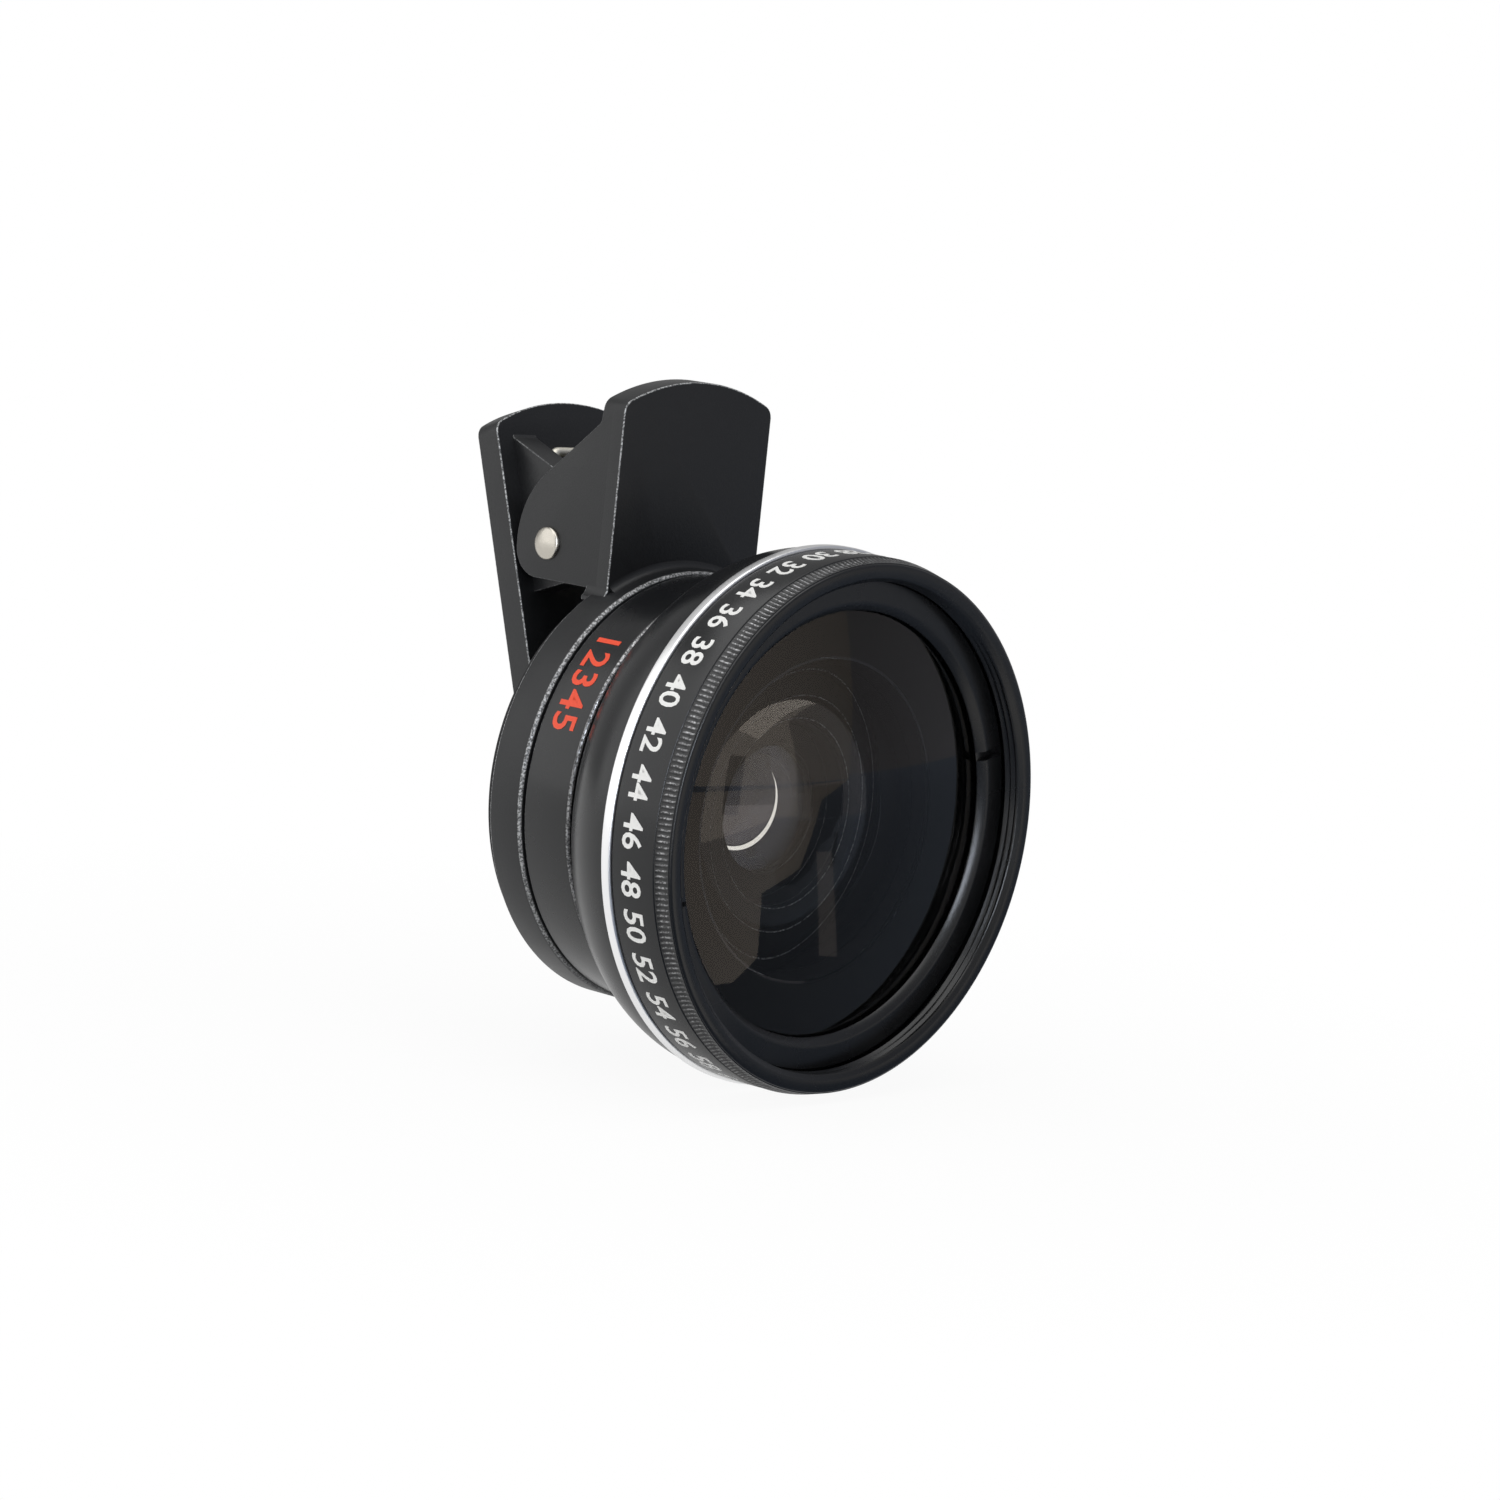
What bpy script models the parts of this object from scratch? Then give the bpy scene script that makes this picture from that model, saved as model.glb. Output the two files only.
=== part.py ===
"""Clip-on lens for a phone: a sprung clip, a macro lens ring and a wide-angle head.

Frame: the optical axis is Y, light enters from -Y. The origin is on that axis in the plane of the
soft seat pad, where the back of the phone lies. The levers stand up along +Z and the hinge pin runs
along X. All sizes below are millimetres; MM turns them into metres.
"""
import math

import bmesh
import bpy
from mathutils import Vector

MM = 0.001

# Clearances
REST_GAP = 0.3
PAD_GAP = 0.1
PIN_CLEARANCE = 0.05
EAR_GAP = 0.3

# The clip's thread sets the radius of everything that is turned: each piece adds its wall to it
THREAD_RADIUS = 18.5
MALE_RADIUS = THREAD_RADIUS - REST_GAP

# Clip ring and its seat pad, measured forward (negative Y) from the seat plane
SEAT_RISE = 1.2
RING_LENGTH = 4.25
RING_WALL = 3.45
RING_RADIUS = THREAD_RADIUS + RING_WALL
RING_EDGE = 0.5
SEAT_PAD_INSET = 0.85
SEAT_PAD_OUTER = RING_RADIUS - SEAT_PAD_INSET
SEAT_PAD_STEP = 0.4
SEAT_PAD_INNER = THREAD_RADIUS + SEAT_PAD_STEP

# Levers, seen from the front
LEVER_HALF_WIDTH = 10.6
LEVER_THICKNESS = 3.0
LEVER_TOP_RADIUS = 23.8
LEVER_CORNER = 1.4
LEVER_EDGE = 0.35
FOOT_FILLET = 1.2
FRONT_LEVER_REAR = -0.25

# Hinge
PIN_Y = 5.65
PIN_ABOVE_RING = 1.25
PIN_Z = RING_RADIUS + PIN_ABOVE_RING
FRONT_LEVER_RISE = 17.45
FRONT_LEVER_TOP = PIN_Z + FRONT_LEVER_RISE
PIN_RADIUS = 1.2
PIN_HEAD_LIP = 0.45
PIN_HEAD_RADIUS = PIN_RADIUS + PIN_HEAD_LIP
PIN_HEAD_HEIGHT = 0.7
PIN_HEAD_GAP = 0.08
EAR_INSET = 0.2
EAR_WIDTH = 1.6
FRONT_EAR_OUTER = LEVER_HALF_WIDTH - EAR_INSET
FRONT_EAR_INNER = FRONT_EAR_OUTER - EAR_WIDTH
BACK_EAR_OUTER = FRONT_EAR_INNER - EAR_GAP
BACK_EAR_INNER = 5.2
PIN_HOLE_REACH = LEVER_HALF_WIDTH + 1.4
EAR_DIAGONAL_DEG = 40.0
EAR_SHOULDER_SHARE = 0.87
EAR_HEEL_RADIUS = 3.1
EAR_NOSE = 4.5
EAR_BELOW_PIN = 3.64
EAR_TOP_ABOVE_PIN = 12.9
EAR_HEEL_STEP = 0.3
BACK_EAR_TOP_DROP = 3.8

# Back lever: a straight plate that leans back, and a jaw that bends towards the seat
BACK_TILT_DEG = 19.2
BACK_PLANE_OFFSET = 4.95
BACK_LEVER_REACH = 15.86
JAW_BEND_BELOW_PIN = 19.2
JAW_ABOVE_RING_FOOT = 1.95
JAW_BOTTOM_Z = JAW_ABOVE_RING_FOOT - RING_RADIUS
JAW_BEND_RADIUS = 8.0
JAW_REST_GAP = 0.29
JAW_PAD_THICKNESS = 1.0
JAW_PAD_INSET = 1.2
JAW_PAD_TIP_INSET = 1.134
JAW_PAD_HALF_WIDTH = LEVER_HALF_WIDTH - JAW_PAD_INSET
JAW_PAD_BELOW_BEND = 2.0

# Double torsion spring on the pin
WIRE_RADIUS = 0.5
COIL_RADIUS = 2.5
COIL_PITCH = 2.0 * WIRE_RADIUS + 0.08
COIL_INNER_X = 1.04
COIL_WHOLE_TURNS = 2
BAR_BELOW_TOP = 5.39
BAR_REACH = BACK_LEVER_REACH - BAR_BELOW_TOP
FRONT_LEG_REACH = 8.5
WIRE_PLATE_GAP = 0.05
WIRE_BEND = 1.1

# Macro ring
MACRO_LENGTH = 6.15
MACRO_WALL = 3.15
MACRO_RADIUS = THREAD_RADIUS + MACRO_WALL
MACRO_EDGE = 0.45
MACRO_THREAD_LENGTH = 3.7
MACRO_SOCKET_DEPTH = 3.4
MACRO_THREAD_WALL = 2.2
MACRO_LENS_RADIUS = MALE_RADIUS - MACRO_THREAD_WALL
MACRO_LENS_EDGE = 1.8
MACRO_FRONT_SAG = 0.6
MACRO_REAR_SAG = 0.3
MACRO_LIP = 1.2
MACRO_LIP_LAP = 0.8
MACRO_LIP_RADIUS = MACRO_LENS_RADIUS - MACRO_LIP_LAP
MACRO_KEEPER_WALL = 1.4
MACRO_KEEPER_INNER = MACRO_LENS_RADIUS - MACRO_KEEPER_WALL
MACRO_KEEPER_LENGTH = 1.5

# Wide-angle head, measured rearward from the front rim
HEAD_RIM_TO_MACRO = 18.19
NECK_WALL = 2.0
NECK_RADIUS = THREAD_RADIUS + NECK_WALL
MOUNT_SHOULDER = 0.8
MOUNT_SCREW_RADIUS = NECK_RADIUS - MOUNT_SHOULDER
MOUNT_FRONT = 12.8
FLARE_OVERHANG = 3.0
FLARE_END = 15.8
FLARE_END_RADIUS = NECK_RADIUS + FLARE_OVERHANG
FILTER_STEP = 1.0
FILTER_RADIUS = FLARE_END_RADIUS + FILTER_STEP
BAND_WALL = 2.05
BAND_RADIUS = FILTER_RADIUS + BAND_WALL
RIM_DROP = 0.55
RIM_RADIUS = BAND_RADIUS - RIM_DROP
KNURL_DROP = 0.05
KNURL_RADIUS = BAND_RADIUS - KNURL_DROP
KNURL_LENGTH = 1.6
TRIM_FRONT = 7.32
TRIM_LENGTH = 1.16
TRIM_PROUD = 0.3
TRIM_RADIUS = BAND_RADIUS + TRIM_PROUD
TRIM_GROOVE = 0.95
TRIM_SEAT_RADIUS = BAND_RADIUS - TRIM_GROOVE
LENS_POCKET_DEPTH = 8.7
LENS_SEAT = 1.3
FRONT_LENS_RADIUS = FILTER_RADIUS - LENS_SEAT
FRONT_LENS_CURVE = 100.0
FRONT_LENS_VERTEX = 1.2
FRONT_LENS_EDGE = FRONT_LENS_VERTEX + FRONT_LENS_CURVE - math.sqrt(FRONT_LENS_CURVE ** 2 - FRONT_LENS_RADIUS ** 2)
FILTER_UNDERCUT = 0.272
FILTER_DEPTH = FRONT_LENS_EDGE + FILTER_UNDERCUT
HOLLOW_LAND = 7.7
HOLLOW_RADIUS = FRONT_LENS_RADIUS - HOLLOW_LAND
HOLLOW_CURVE = HOLLOW_RADIUS + 10.5
KEEPER_LAP = 2.08
KEEPER_INNER = FRONT_LENS_RADIUS - KEEPER_LAP
KEEPER_LIP = 0.785
KEEPER_SEAT = FRONT_LENS_VERTEX + FRONT_LENS_CURVE - math.sqrt(FRONT_LENS_CURVE ** 2 - KEEPER_INNER ** 2) - REST_GAP
KEEPER_FRONT = KEEPER_SEAT - KEEPER_LIP
KEEPER_BEVEL = 0.7
KEEPER_SLOT_WIDTH = 1.0
KEEPER_SLOT_DEPTH = 0.5
KEEPER_SLOT_DEG = 17.0
BAFFLE_STEPS = 4
BAFFLE_WALL = 0.9
BAFFLE_RADIUS = MOUNT_SCREW_RADIUS - 1.4
BAFFLE_FRONT_BORE = BAFFLE_RADIUS - BAFFLE_WALL
BAFFLE_TAPER = 6.8
BAFFLE_REAR_BORE = BAFFLE_FRONT_BORE - BAFFLE_TAPER
MOUNT_RECESS = 3.4
MOUNT_WEB = 4.4
CARRIER_WALL = 1.9
REAR_WALL = 9.6
REAR_LENS_RADIUS = MALE_RADIUS - REAR_WALL
REAR_LIP = 0.6
REAR_LIP_LAP = 1.0
REAR_LIP_RADIUS = REAR_LENS_RADIUS - REAR_LIP_LAP
REAR_FRONT_LENS_EDGE = 1.0
REAR_FRONT_LENS_SAGS = (0.35, 0.1)
REAR_BACK_LENS_EDGE = 0.8
REAR_BACK_LENS_SAGS = (0.25, 0.1)
REAR_SPACER_LENGTH = 0.5
REAR_SPACER_WALL = 0.9
REAR_KEEPER_LENGTH = 0.7
REAR_KEEPER_WALL = 3.6
REAR_KEEPER_BEVEL = 0.3

# Facets round a full turn
BIG_STEPS = 44
MID_STEPS = 32
INNER_STEPS = 16
SMALL_STEPS = 16

# Stations along Y that several pieces share
RING_REAR = -SEAT_RISE
RING_FRONT = RING_REAR - RING_LENGTH
MACRO_REAR = RING_FRONT - REST_GAP
MACRO_FRONT = MACRO_REAR - MACRO_LENGTH
RIM_Y = MACRO_FRONT - HEAD_RIM_TO_MACRO


def clear_scene():
    """Remove whatever the opened file holds."""
    for obj in list(bpy.data.objects):
        bpy.data.objects.remove(obj, do_unlink=True)


def principled(name, rgb, roughness, metallic=0.0, transmission=0.0):
    """One Principled material."""
    mat = bpy.data.materials.new(name)
    mat.use_nodes = True
    shader = mat.node_tree.nodes["Principled BSDF"]
    shader.inputs["Base Color"].default_value = (*rgb, 1.0)
    shader.inputs["Roughness"].default_value = roughness
    shader.inputs["Metallic"].default_value = metallic
    shader.inputs["Transmission Weight"].default_value = transmission
    mat.diffuse_color = (*rgb, 1.0)
    return mat


def link(name, mesh, material=None):
    """Put a mesh into the scene as an object of its own."""
    obj = bpy.data.objects.new(name, mesh)
    bpy.context.scene.collection.objects.link(obj)
    if material is not None:
        mesh.materials.append(material)
    return obj


def as_helper(obj):
    """Mark an object that only shapes another one."""
    obj.hide_render = True
    obj.display_type = "WIRE"
    return obj


def boolean(target, helper, operation):
    """Combine a helper with the target by an exact Boolean."""
    mod = target.modifiers.new(operation.title() + " " + helper.name, "BOOLEAN")
    mod.operation = operation
    mod.solver = "EXACT"
    mod.object = as_helper(helper)
    return mod


def bevel(target, width, segments=1, angle_deg=40.0):
    """Break the sharp edges."""
    mod = target.modifiers.new("Edge break", "BEVEL")
    mod.width = width * MM
    mod.segments = segments
    mod.limit_method = "ANGLE"
    mod.angle_limit = math.radians(angle_deg)
    mod.harden_normals = False
    return mod


def rounded(corners, segments=4):
    """Points of an outline whose corners (u, v, radius) are rounded."""
    points = []
    count = len(corners)
    for index, (u, v, radius) in enumerate(corners):
        here = Vector((u, v))
        if radius <= 0.0:
            points.append(here)
            continue
        before = (Vector(corners[index - 1][:2]) - here).normalized()
        after = (Vector(corners[(index + 1) % count][:2]) - here).normalized()
        half = before.angle(after) / 2.0
        centre = here + (before + after).normalized() * (radius / math.sin(half))
        start = here + before * (radius / math.tan(half)) - centre
        end = here + after * (radius / math.tan(half)) - centre
        turn = math.atan2(start.x * end.y - start.y * end.x, start.dot(end))
        for step in range(segments + 1):
            a = turn * step / segments
            points.append(centre + Vector((start.x * math.cos(a) - start.y * math.sin(a),
                                           start.x * math.sin(a) + start.y * math.cos(a))))
    return points


def arc(centre, radius, start_deg, end_deg, segments):
    """Points of an arc in a plane."""
    points = []
    for step in range(segments + 1):
        a = math.radians(start_deg + (end_deg - start_deg) * step / segments)
        points.append(Vector((centre[0] + radius * math.cos(a), centre[1] + radius * math.sin(a))))
    return points


def signed_area(points):
    """Twice the area of an outline, positive when it runs anticlockwise."""
    return sum(a[0] * b[1] - a[1] * b[0] for a, b in zip(points, points[1:] + points[:1]))


def prism(name, outline, place, depth, material=None):
    """Extrude an outline; place(u, v, w) gives each point, w running from 0 to depth."""
    points = list(outline)
    if signed_area(points) < 0.0:
        points.reverse()
    bm = bmesh.new()
    base = bm.faces.new([bm.verts.new(Vector(place(p[0], p[1], 0.0)) * MM) for p in points])
    move = (Vector(place(0.0, 0.0, depth)) - Vector(place(0.0, 0.0, 0.0))) * MM
    grown = bmesh.ops.extrude_face_region(bm, geom=[base], use_keep_orig=True)
    top = [item for item in grown["geom"] if isinstance(item, bmesh.types.BMVert)]
    bmesh.ops.translate(bm, verts=top, vec=move)
    bmesh.ops.recalc_face_normals(bm, faces=bm.faces)
    mesh = bpy.data.meshes.new(name)
    bm.to_mesh(mesh)
    bm.free()
    return link(name, mesh, material)


def turned(name, profile, steps, material=None, along="Y", centre=(0.0, 0.0, 0.0)):
    """Turn a profile of (radius, station) about the Y or X axis.

    A profile whose two ends lie on the axis makes a solid disc, any other is closed to a ring. Seen
    with the radius to the right and the station upwards it has to run clockwise, so that the Screw
    modifier makes a skin that faces out.
    """
    points = [Vector(p) for p in profile]
    if signed_area(points) > 0.0:
        points.reverse()
    on_axis = [i for i, p in enumerate(points) if p[0] < 1e-6]
    if on_axis:
        while not (points[0][0] < 1e-6 and points[-1][0] < 1e-6):
            points = points[1:] + points[:1]
    bm = bmesh.new()
    verts = [bm.verts.new((p[0] * MM, 0.0, p[1] * MM)) for p in points]
    for a, b in zip(verts, verts[1:]):
        bm.edges.new((a, b))
    if not on_axis:
        bm.edges.new((verts[-1], verts[0]))
    mesh = bpy.data.meshes.new(name)
    bm.to_mesh(mesh)
    bm.free()
    obj = link(name, mesh, material)
    if along == "Y":
        obj.rotation_euler = (-math.pi / 2.0, 0.0, 0.0)
    else:
        obj.rotation_euler = (0.0, math.pi / 2.0, 0.0)
    obj.location = Vector(centre) * MM
    mod = obj.modifiers.new("Turn", "SCREW")
    mod.axis = "Z"
    mod.angle = 2.0 * math.pi
    mod.screw_offset = 0.0
    mod.steps = steps
    mod.render_steps = steps
    mod.use_merge_vertices = True
    mod.merge_threshold = 0.000001
    mod.use_smooth_shade = True
    return obj


def disc(radius, front, rear, front_curve, rear_curve, rings=3):
    """Profile of a lens between two edge stations; a curve is the sag at the rim, + is domed out."""
    points = []
    for step in range(rings + 1):
        t = step / rings
        points.append((radius * t, front - front_curve * (1.0 - t * t)))
    for step in range(rings, -1, -1):
        t = step / rings
        points.append((radius * t, rear + rear_curve * (1.0 - t * t)))
    return points


def sphere_sag(curve, radius):
    """Depth of a spherical surface at a radius."""
    return curve - math.sqrt(curve * curve - radius * radius)


def lever_outline(top, foot):
    """Front view of a lever's upper half: straight sides, shallow arched top, rounded corners."""
    centre_v = top - LEVER_TOP_RADIUS
    inner = LEVER_TOP_RADIUS - LEVER_CORNER
    corner_u = LEVER_HALF_WIDTH - LEVER_CORNER
    corner_v = centre_v + math.sqrt(inner * inner - corner_u * corner_u)
    join_deg = math.degrees(math.acos(corner_u / inner))
    right = arc((corner_u, corner_v), LEVER_CORNER, 0.0, join_deg, 4)
    top_arc = arc((0.0, centre_v), LEVER_TOP_RADIUS, join_deg, 180.0 - join_deg, 10)
    left = arc((-corner_u, corner_v), LEVER_CORNER, 180.0 - join_deg, 180.0, 4)
    return foot + right + top_arc[1:-1] + left


def ear_outline(plate_distance, nose, below, top):
    """Side view of a hinge ear: u runs from the pin away from its plate, v along the plate.

    The shoulder's round takes EAR_SHOULDER_SHARE of the straight edge between it and the heel.
    """
    diagonal = math.radians(EAR_DIAGONAL_DEG)
    slope = math.tan(diagonal)
    shoulder_v = top - (plate_distance + nose) * slope
    room = shoulder_v + below - EAR_HEEL_RADIUS
    shoulder = EAR_SHOULDER_SHARE * room / math.tan((math.pi / 2.0 - diagonal) / 2.0)
    return rounded([
        (-plate_distance - LEVER_THICKNESS / 2.0, -below, 0.0),
        (nose, -below, EAR_HEEL_RADIUS),
        (nose, shoulder_v, shoulder),
        (-plate_distance + 0.15, top - 0.15 * slope, 0.8),
        (-plate_distance, top + 1.2, 0.0),
        (-plate_distance - LEVER_THICKNESS / 2.0, top + 1.2, 0.0),
    ], 5)


def make_front_clip(material):
    """Front moulding: threaded ring, front lever and the outer pair of hinge ears."""
    # The fillets end just under the ring's surface, and the foot goes on into the ring.
    sink = 0.06
    centre_u = LEVER_HALF_WIDTH + FOOT_FILLET
    reach = RING_RADIUS - sink + FOOT_FILLET
    fillet_v = math.sqrt(reach * reach - centre_u * centre_u)
    end_deg = math.degrees(math.atan2(fillet_v, centre_u)) - 180.0
    right = arc((centre_u, fillet_v), FOOT_FILLET, end_deg, -180.0, 4)
    left = [Vector((-p.x, p.y)) for p in reversed(right)]
    foot = [left[-1] * 0.9, right[0] * 0.9] + right
    outline = lever_outline(FRONT_LEVER_TOP, foot) + left
    rear = FRONT_LEVER_REAR
    lever = prism("front_clip", outline, lambda u, v, w: (u, rear - w, v), LEVER_THICKNESS, material)
    bevel(lever, LEVER_EDGE)
    recess_radius = RING_RADIUS - sink
    recess_front = RING_REAR - 0.4
    recess = turned("front_clip_recess", [
        (0.0, recess_front), (recess_radius, recess_front), (recess_radius, 2.0), (0.0, 2.0)], BIG_STEPS)
    boolean(lever, recess, "DIFFERENCE")

    edge = RING_EDGE
    ring = turned("front_clip_ring", [
        (THREAD_RADIUS - 1.0, RING_REAR), (RING_RADIUS, RING_REAR), (RING_RADIUS, RING_FRONT + edge),
        (RING_RADIUS - 0.3 * edge, RING_FRONT + 0.3 * edge), (RING_RADIUS - edge, RING_FRONT),
        (THREAD_RADIUS - 1.0, RING_FRONT)], BIG_STEPS)
    boolean(lever, ring, "UNION")

    plate_distance = PIN_Y - FRONT_LEVER_REAR
    outline = ear_outline(plate_distance, EAR_NOSE, EAR_BELOW_PIN, EAR_TOP_ABOVE_PIN)
    for side in (-1.0, 1.0):
        start = side * FRONT_EAR_INNER
        width = side * (FRONT_EAR_OUTER - FRONT_EAR_INNER)
        ear = prism("front_clip_ear" + ("_left" if side < 0 else "_right"), outline,
                    lambda u, v, w, x=start: (x + w, PIN_Y + u, PIN_Z + v), width)
        bevel(ear, 0.2)
        boolean(lever, ear, "UNION")

    bore = turned("front_clip_bore", [
        (0.0, RING_FRONT - 1.0), (THREAD_RADIUS + 1.1, RING_FRONT - 1.0), (THREAD_RADIUS, RING_FRONT + 0.1),
        (THREAD_RADIUS, 1.0), (0.0, 1.0)], BIG_STEPS)
    boolean(lever, bore, "DIFFERENCE")
    hole = turned("front_clip_pin_hole", [
        (0.0, -PIN_HOLE_REACH), (PIN_RADIUS + PIN_CLEARANCE, -PIN_HOLE_REACH),
        (PIN_RADIUS + PIN_CLEARANCE, PIN_HOLE_REACH), (0.0, PIN_HOLE_REACH)],
        SMALL_STEPS, along="X", centre=(0.0, PIN_Y, PIN_Z))
    boolean(lever, hole, "DIFFERENCE")
    return lever


def back_plane(along, behind):
    """Point (y, z) of the back lever: along the plate from the pin, and behind the pin."""
    a = math.radians(BACK_TILT_DEG)
    return (PIN_Y + along * math.sin(a) + behind * math.cos(a),
            PIN_Z + along * math.cos(a) - behind * math.sin(a))


def jaw_bend_point():
    """Where the straight plate's inner face turns towards the seat."""
    a = math.radians(BACK_TILT_DEG)
    along = (BACK_PLANE_OFFSET * math.sin(a) - JAW_BEND_BELOW_PIN) / math.cos(a)
    return back_plane(along, BACK_PLANE_OFFSET)


def jaw_tilt():
    """Lean of the jaw, in radians.

    It closes the chain at rest: the jaw's face passes behind the tip of its pad, by the pad's
    thickness and gap, and the tip stays JAW_REST_GAP from the seat pad.
    """
    y_bend, z_bend = jaw_bend_point()
    along_y = y_bend - JAW_REST_GAP
    along_z = z_bend - JAW_BOTTOM_Z - JAW_PAD_TIP_INSET
    return math.atan2(along_y, along_z) - math.asin((PAD_GAP + JAW_PAD_THICKNESS) / math.hypot(along_y, along_z))


def jaw_face(z):
    """Y of the jaw's inner face at a height, below the bend."""
    y_bend, z_bend = jaw_bend_point()
    return y_bend + (z - z_bend) * math.tan(jaw_tilt())


def make_back_lever(material):
    """Back moulding: leaning lever, bent jaw and the inner pair of hinge ears."""
    tilt = math.radians(BACK_TILT_DEG)
    jaw = jaw_tilt()
    y_bend, z_bend = jaw_bend_point()
    top_in = back_plane(BACK_LEVER_REACH + 1.0, BACK_PLANE_OFFSET)
    top_out = back_plane(BACK_LEVER_REACH + 1.0, BACK_PLANE_OFFSET + LEVER_THICKNESS)
    low = JAW_BOTTOM_Z - 4.0
    half = (tilt - jaw) / 2.0
    mitre = LEVER_THICKNESS / math.cos(half)
    middle = (tilt + jaw) / 2.0
    bend_out = (y_bend + mitre * math.cos(middle), z_bend - mitre * math.sin(middle))
    low_out = (jaw_face(low) + LEVER_THICKNESS * math.cos(jaw), low - LEVER_THICKNESS * math.sin(jaw))
    side = rounded([
        (top_in[0], top_in[1], 0.0), (y_bend, z_bend, JAW_BEND_RADIUS + LEVER_THICKNESS),
        (jaw_face(low), low, 0.0), (low_out[0], low_out[1], 0.0),
        (bend_out[0], bend_out[1], JAW_BEND_RADIUS), (top_out[0], top_out[1], 0.0)], 4)
    half_width = LEVER_HALF_WIDTH
    lever = prism("back_lever", side, lambda u, v, w: (w - half_width - 1.0, u, v), 2.0 * half_width + 2.0,
                  material)

    centre = (0.0, PIN_Y, PIN_Z)
    lowest = (jaw_face(JAW_BOTTOM_Z) - PIN_Y) * math.sin(tilt) + (JAW_BOTTOM_Z - PIN_Z) * math.cos(tilt)
    foot = arc((0.0, lowest + half_width), half_width, 180.0, 360.0, 14)
    outline = lever_outline(BACK_LEVER_REACH, foot)
    shape = prism("back_lever_outline", outline,
                  lambda u, v, w: (u, centre[1] + v * math.sin(tilt) + (w - 6.0) * math.cos(tilt),
                                   centre[2] + v * math.cos(tilt) - (w - 6.0) * math.sin(tilt)), 26.0)
    boolean(lever, shape, "INTERSECT")
    bevel(lever, LEVER_EDGE)

    # The inner ears mirror the outer ones: they reach forward from the leaning plate.
    outline = ear_outline(BACK_PLANE_OFFSET, EAR_NOSE, EAR_BELOW_PIN + EAR_HEEL_STEP, BACK_LEVER_REACH - BACK_EAR_TOP_DROP)
    for side_sign in (-1.0, 1.0):
        start = side_sign * BACK_EAR_INNER
        width = side_sign * (BACK_EAR_OUTER - BACK_EAR_INNER)
        ear = prism("back_lever_ear" + ("_left" if side_sign < 0 else "_right"), outline,
                    lambda u, v, w, x=start: (x + w, *back_plane(v, -u)), width)
        bevel(ear, 0.2)
        boolean(lever, ear, "UNION")
    hole = turned("back_lever_pin_hole", [
        (0.0, -PIN_HOLE_REACH), (PIN_RADIUS + PIN_CLEARANCE, -PIN_HOLE_REACH),
        (PIN_RADIUS + PIN_CLEARANCE, PIN_HOLE_REACH), (0.0, PIN_HOLE_REACH)],
        SMALL_STEPS, along="X", centre=centre)
    boolean(lever, hole, "DIFFERENCE")
    return lever


def make_jaw_pad(material):
    """Soft pad on the jaw's inner face."""
    jaw = jaw_tilt()
    low = JAW_BOTTOM_Z + JAW_PAD_TIP_INSET - (PAD_GAP + JAW_PAD_THICKNESS) * math.sin(jaw)
    top = jaw_bend_point()[1] - JAW_PAD_BELOW_BEND
    radius = JAW_PAD_HALF_WIDTH
    outline = arc((0.0, low + radius), radius, 180.0, 360.0, 14) + [
        Vector((radius, top - 3.0)), Vector((radius - 0.9, top - 0.9)), Vector((radius - 3.0, top)),
        Vector((3.0 - radius, top)), Vector((0.9 - radius, top - 0.9)), Vector((-radius, top - 3.0))]
    thick = JAW_PAD_THICKNESS
    pad = prism("jaw_pad", outline,
                lambda u, v, w: (u, jaw_face(v) - (PAD_GAP + w) * math.cos(jaw),
                                 v + (PAD_GAP + w) * math.sin(jaw)), thick, material)
    bevel(pad, 0.2)
    return pad


def make_seat_pad(material):
    """Soft ring that lies on the back of the phone."""
    back = RING_REAR + PAD_GAP
    return turned("seat_pad", [
        (SEAT_PAD_INNER, back), (SEAT_PAD_OUTER, back), (SEAT_PAD_OUTER, -0.2),
        (SEAT_PAD_OUTER - 0.2, 0.0), (SEAT_PAD_INNER, 0.0)],
        BIG_STEPS, material)


def make_pin(material):
    """Hinge pin with a dome formed on each end."""
    start = FRONT_EAR_OUTER + PIN_HEAD_GAP
    half = [(0.0, start + PIN_HEAD_HEIGHT), (0.55 * PIN_HEAD_RADIUS, start + 0.85 * PIN_HEAD_HEIGHT),
            (0.86 * PIN_HEAD_RADIUS, start + 0.5 * PIN_HEAD_HEIGHT), (PIN_HEAD_RADIUS, start + 0.12),
            (PIN_HEAD_RADIUS, start), (PIN_RADIUS, start)]
    profile = half + [(r, -s) for r, s in reversed(half)]
    return turned("hinge_pin", profile, SMALL_STEPS, material, along="X", centre=(0.0, PIN_Y, PIN_Z))


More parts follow.
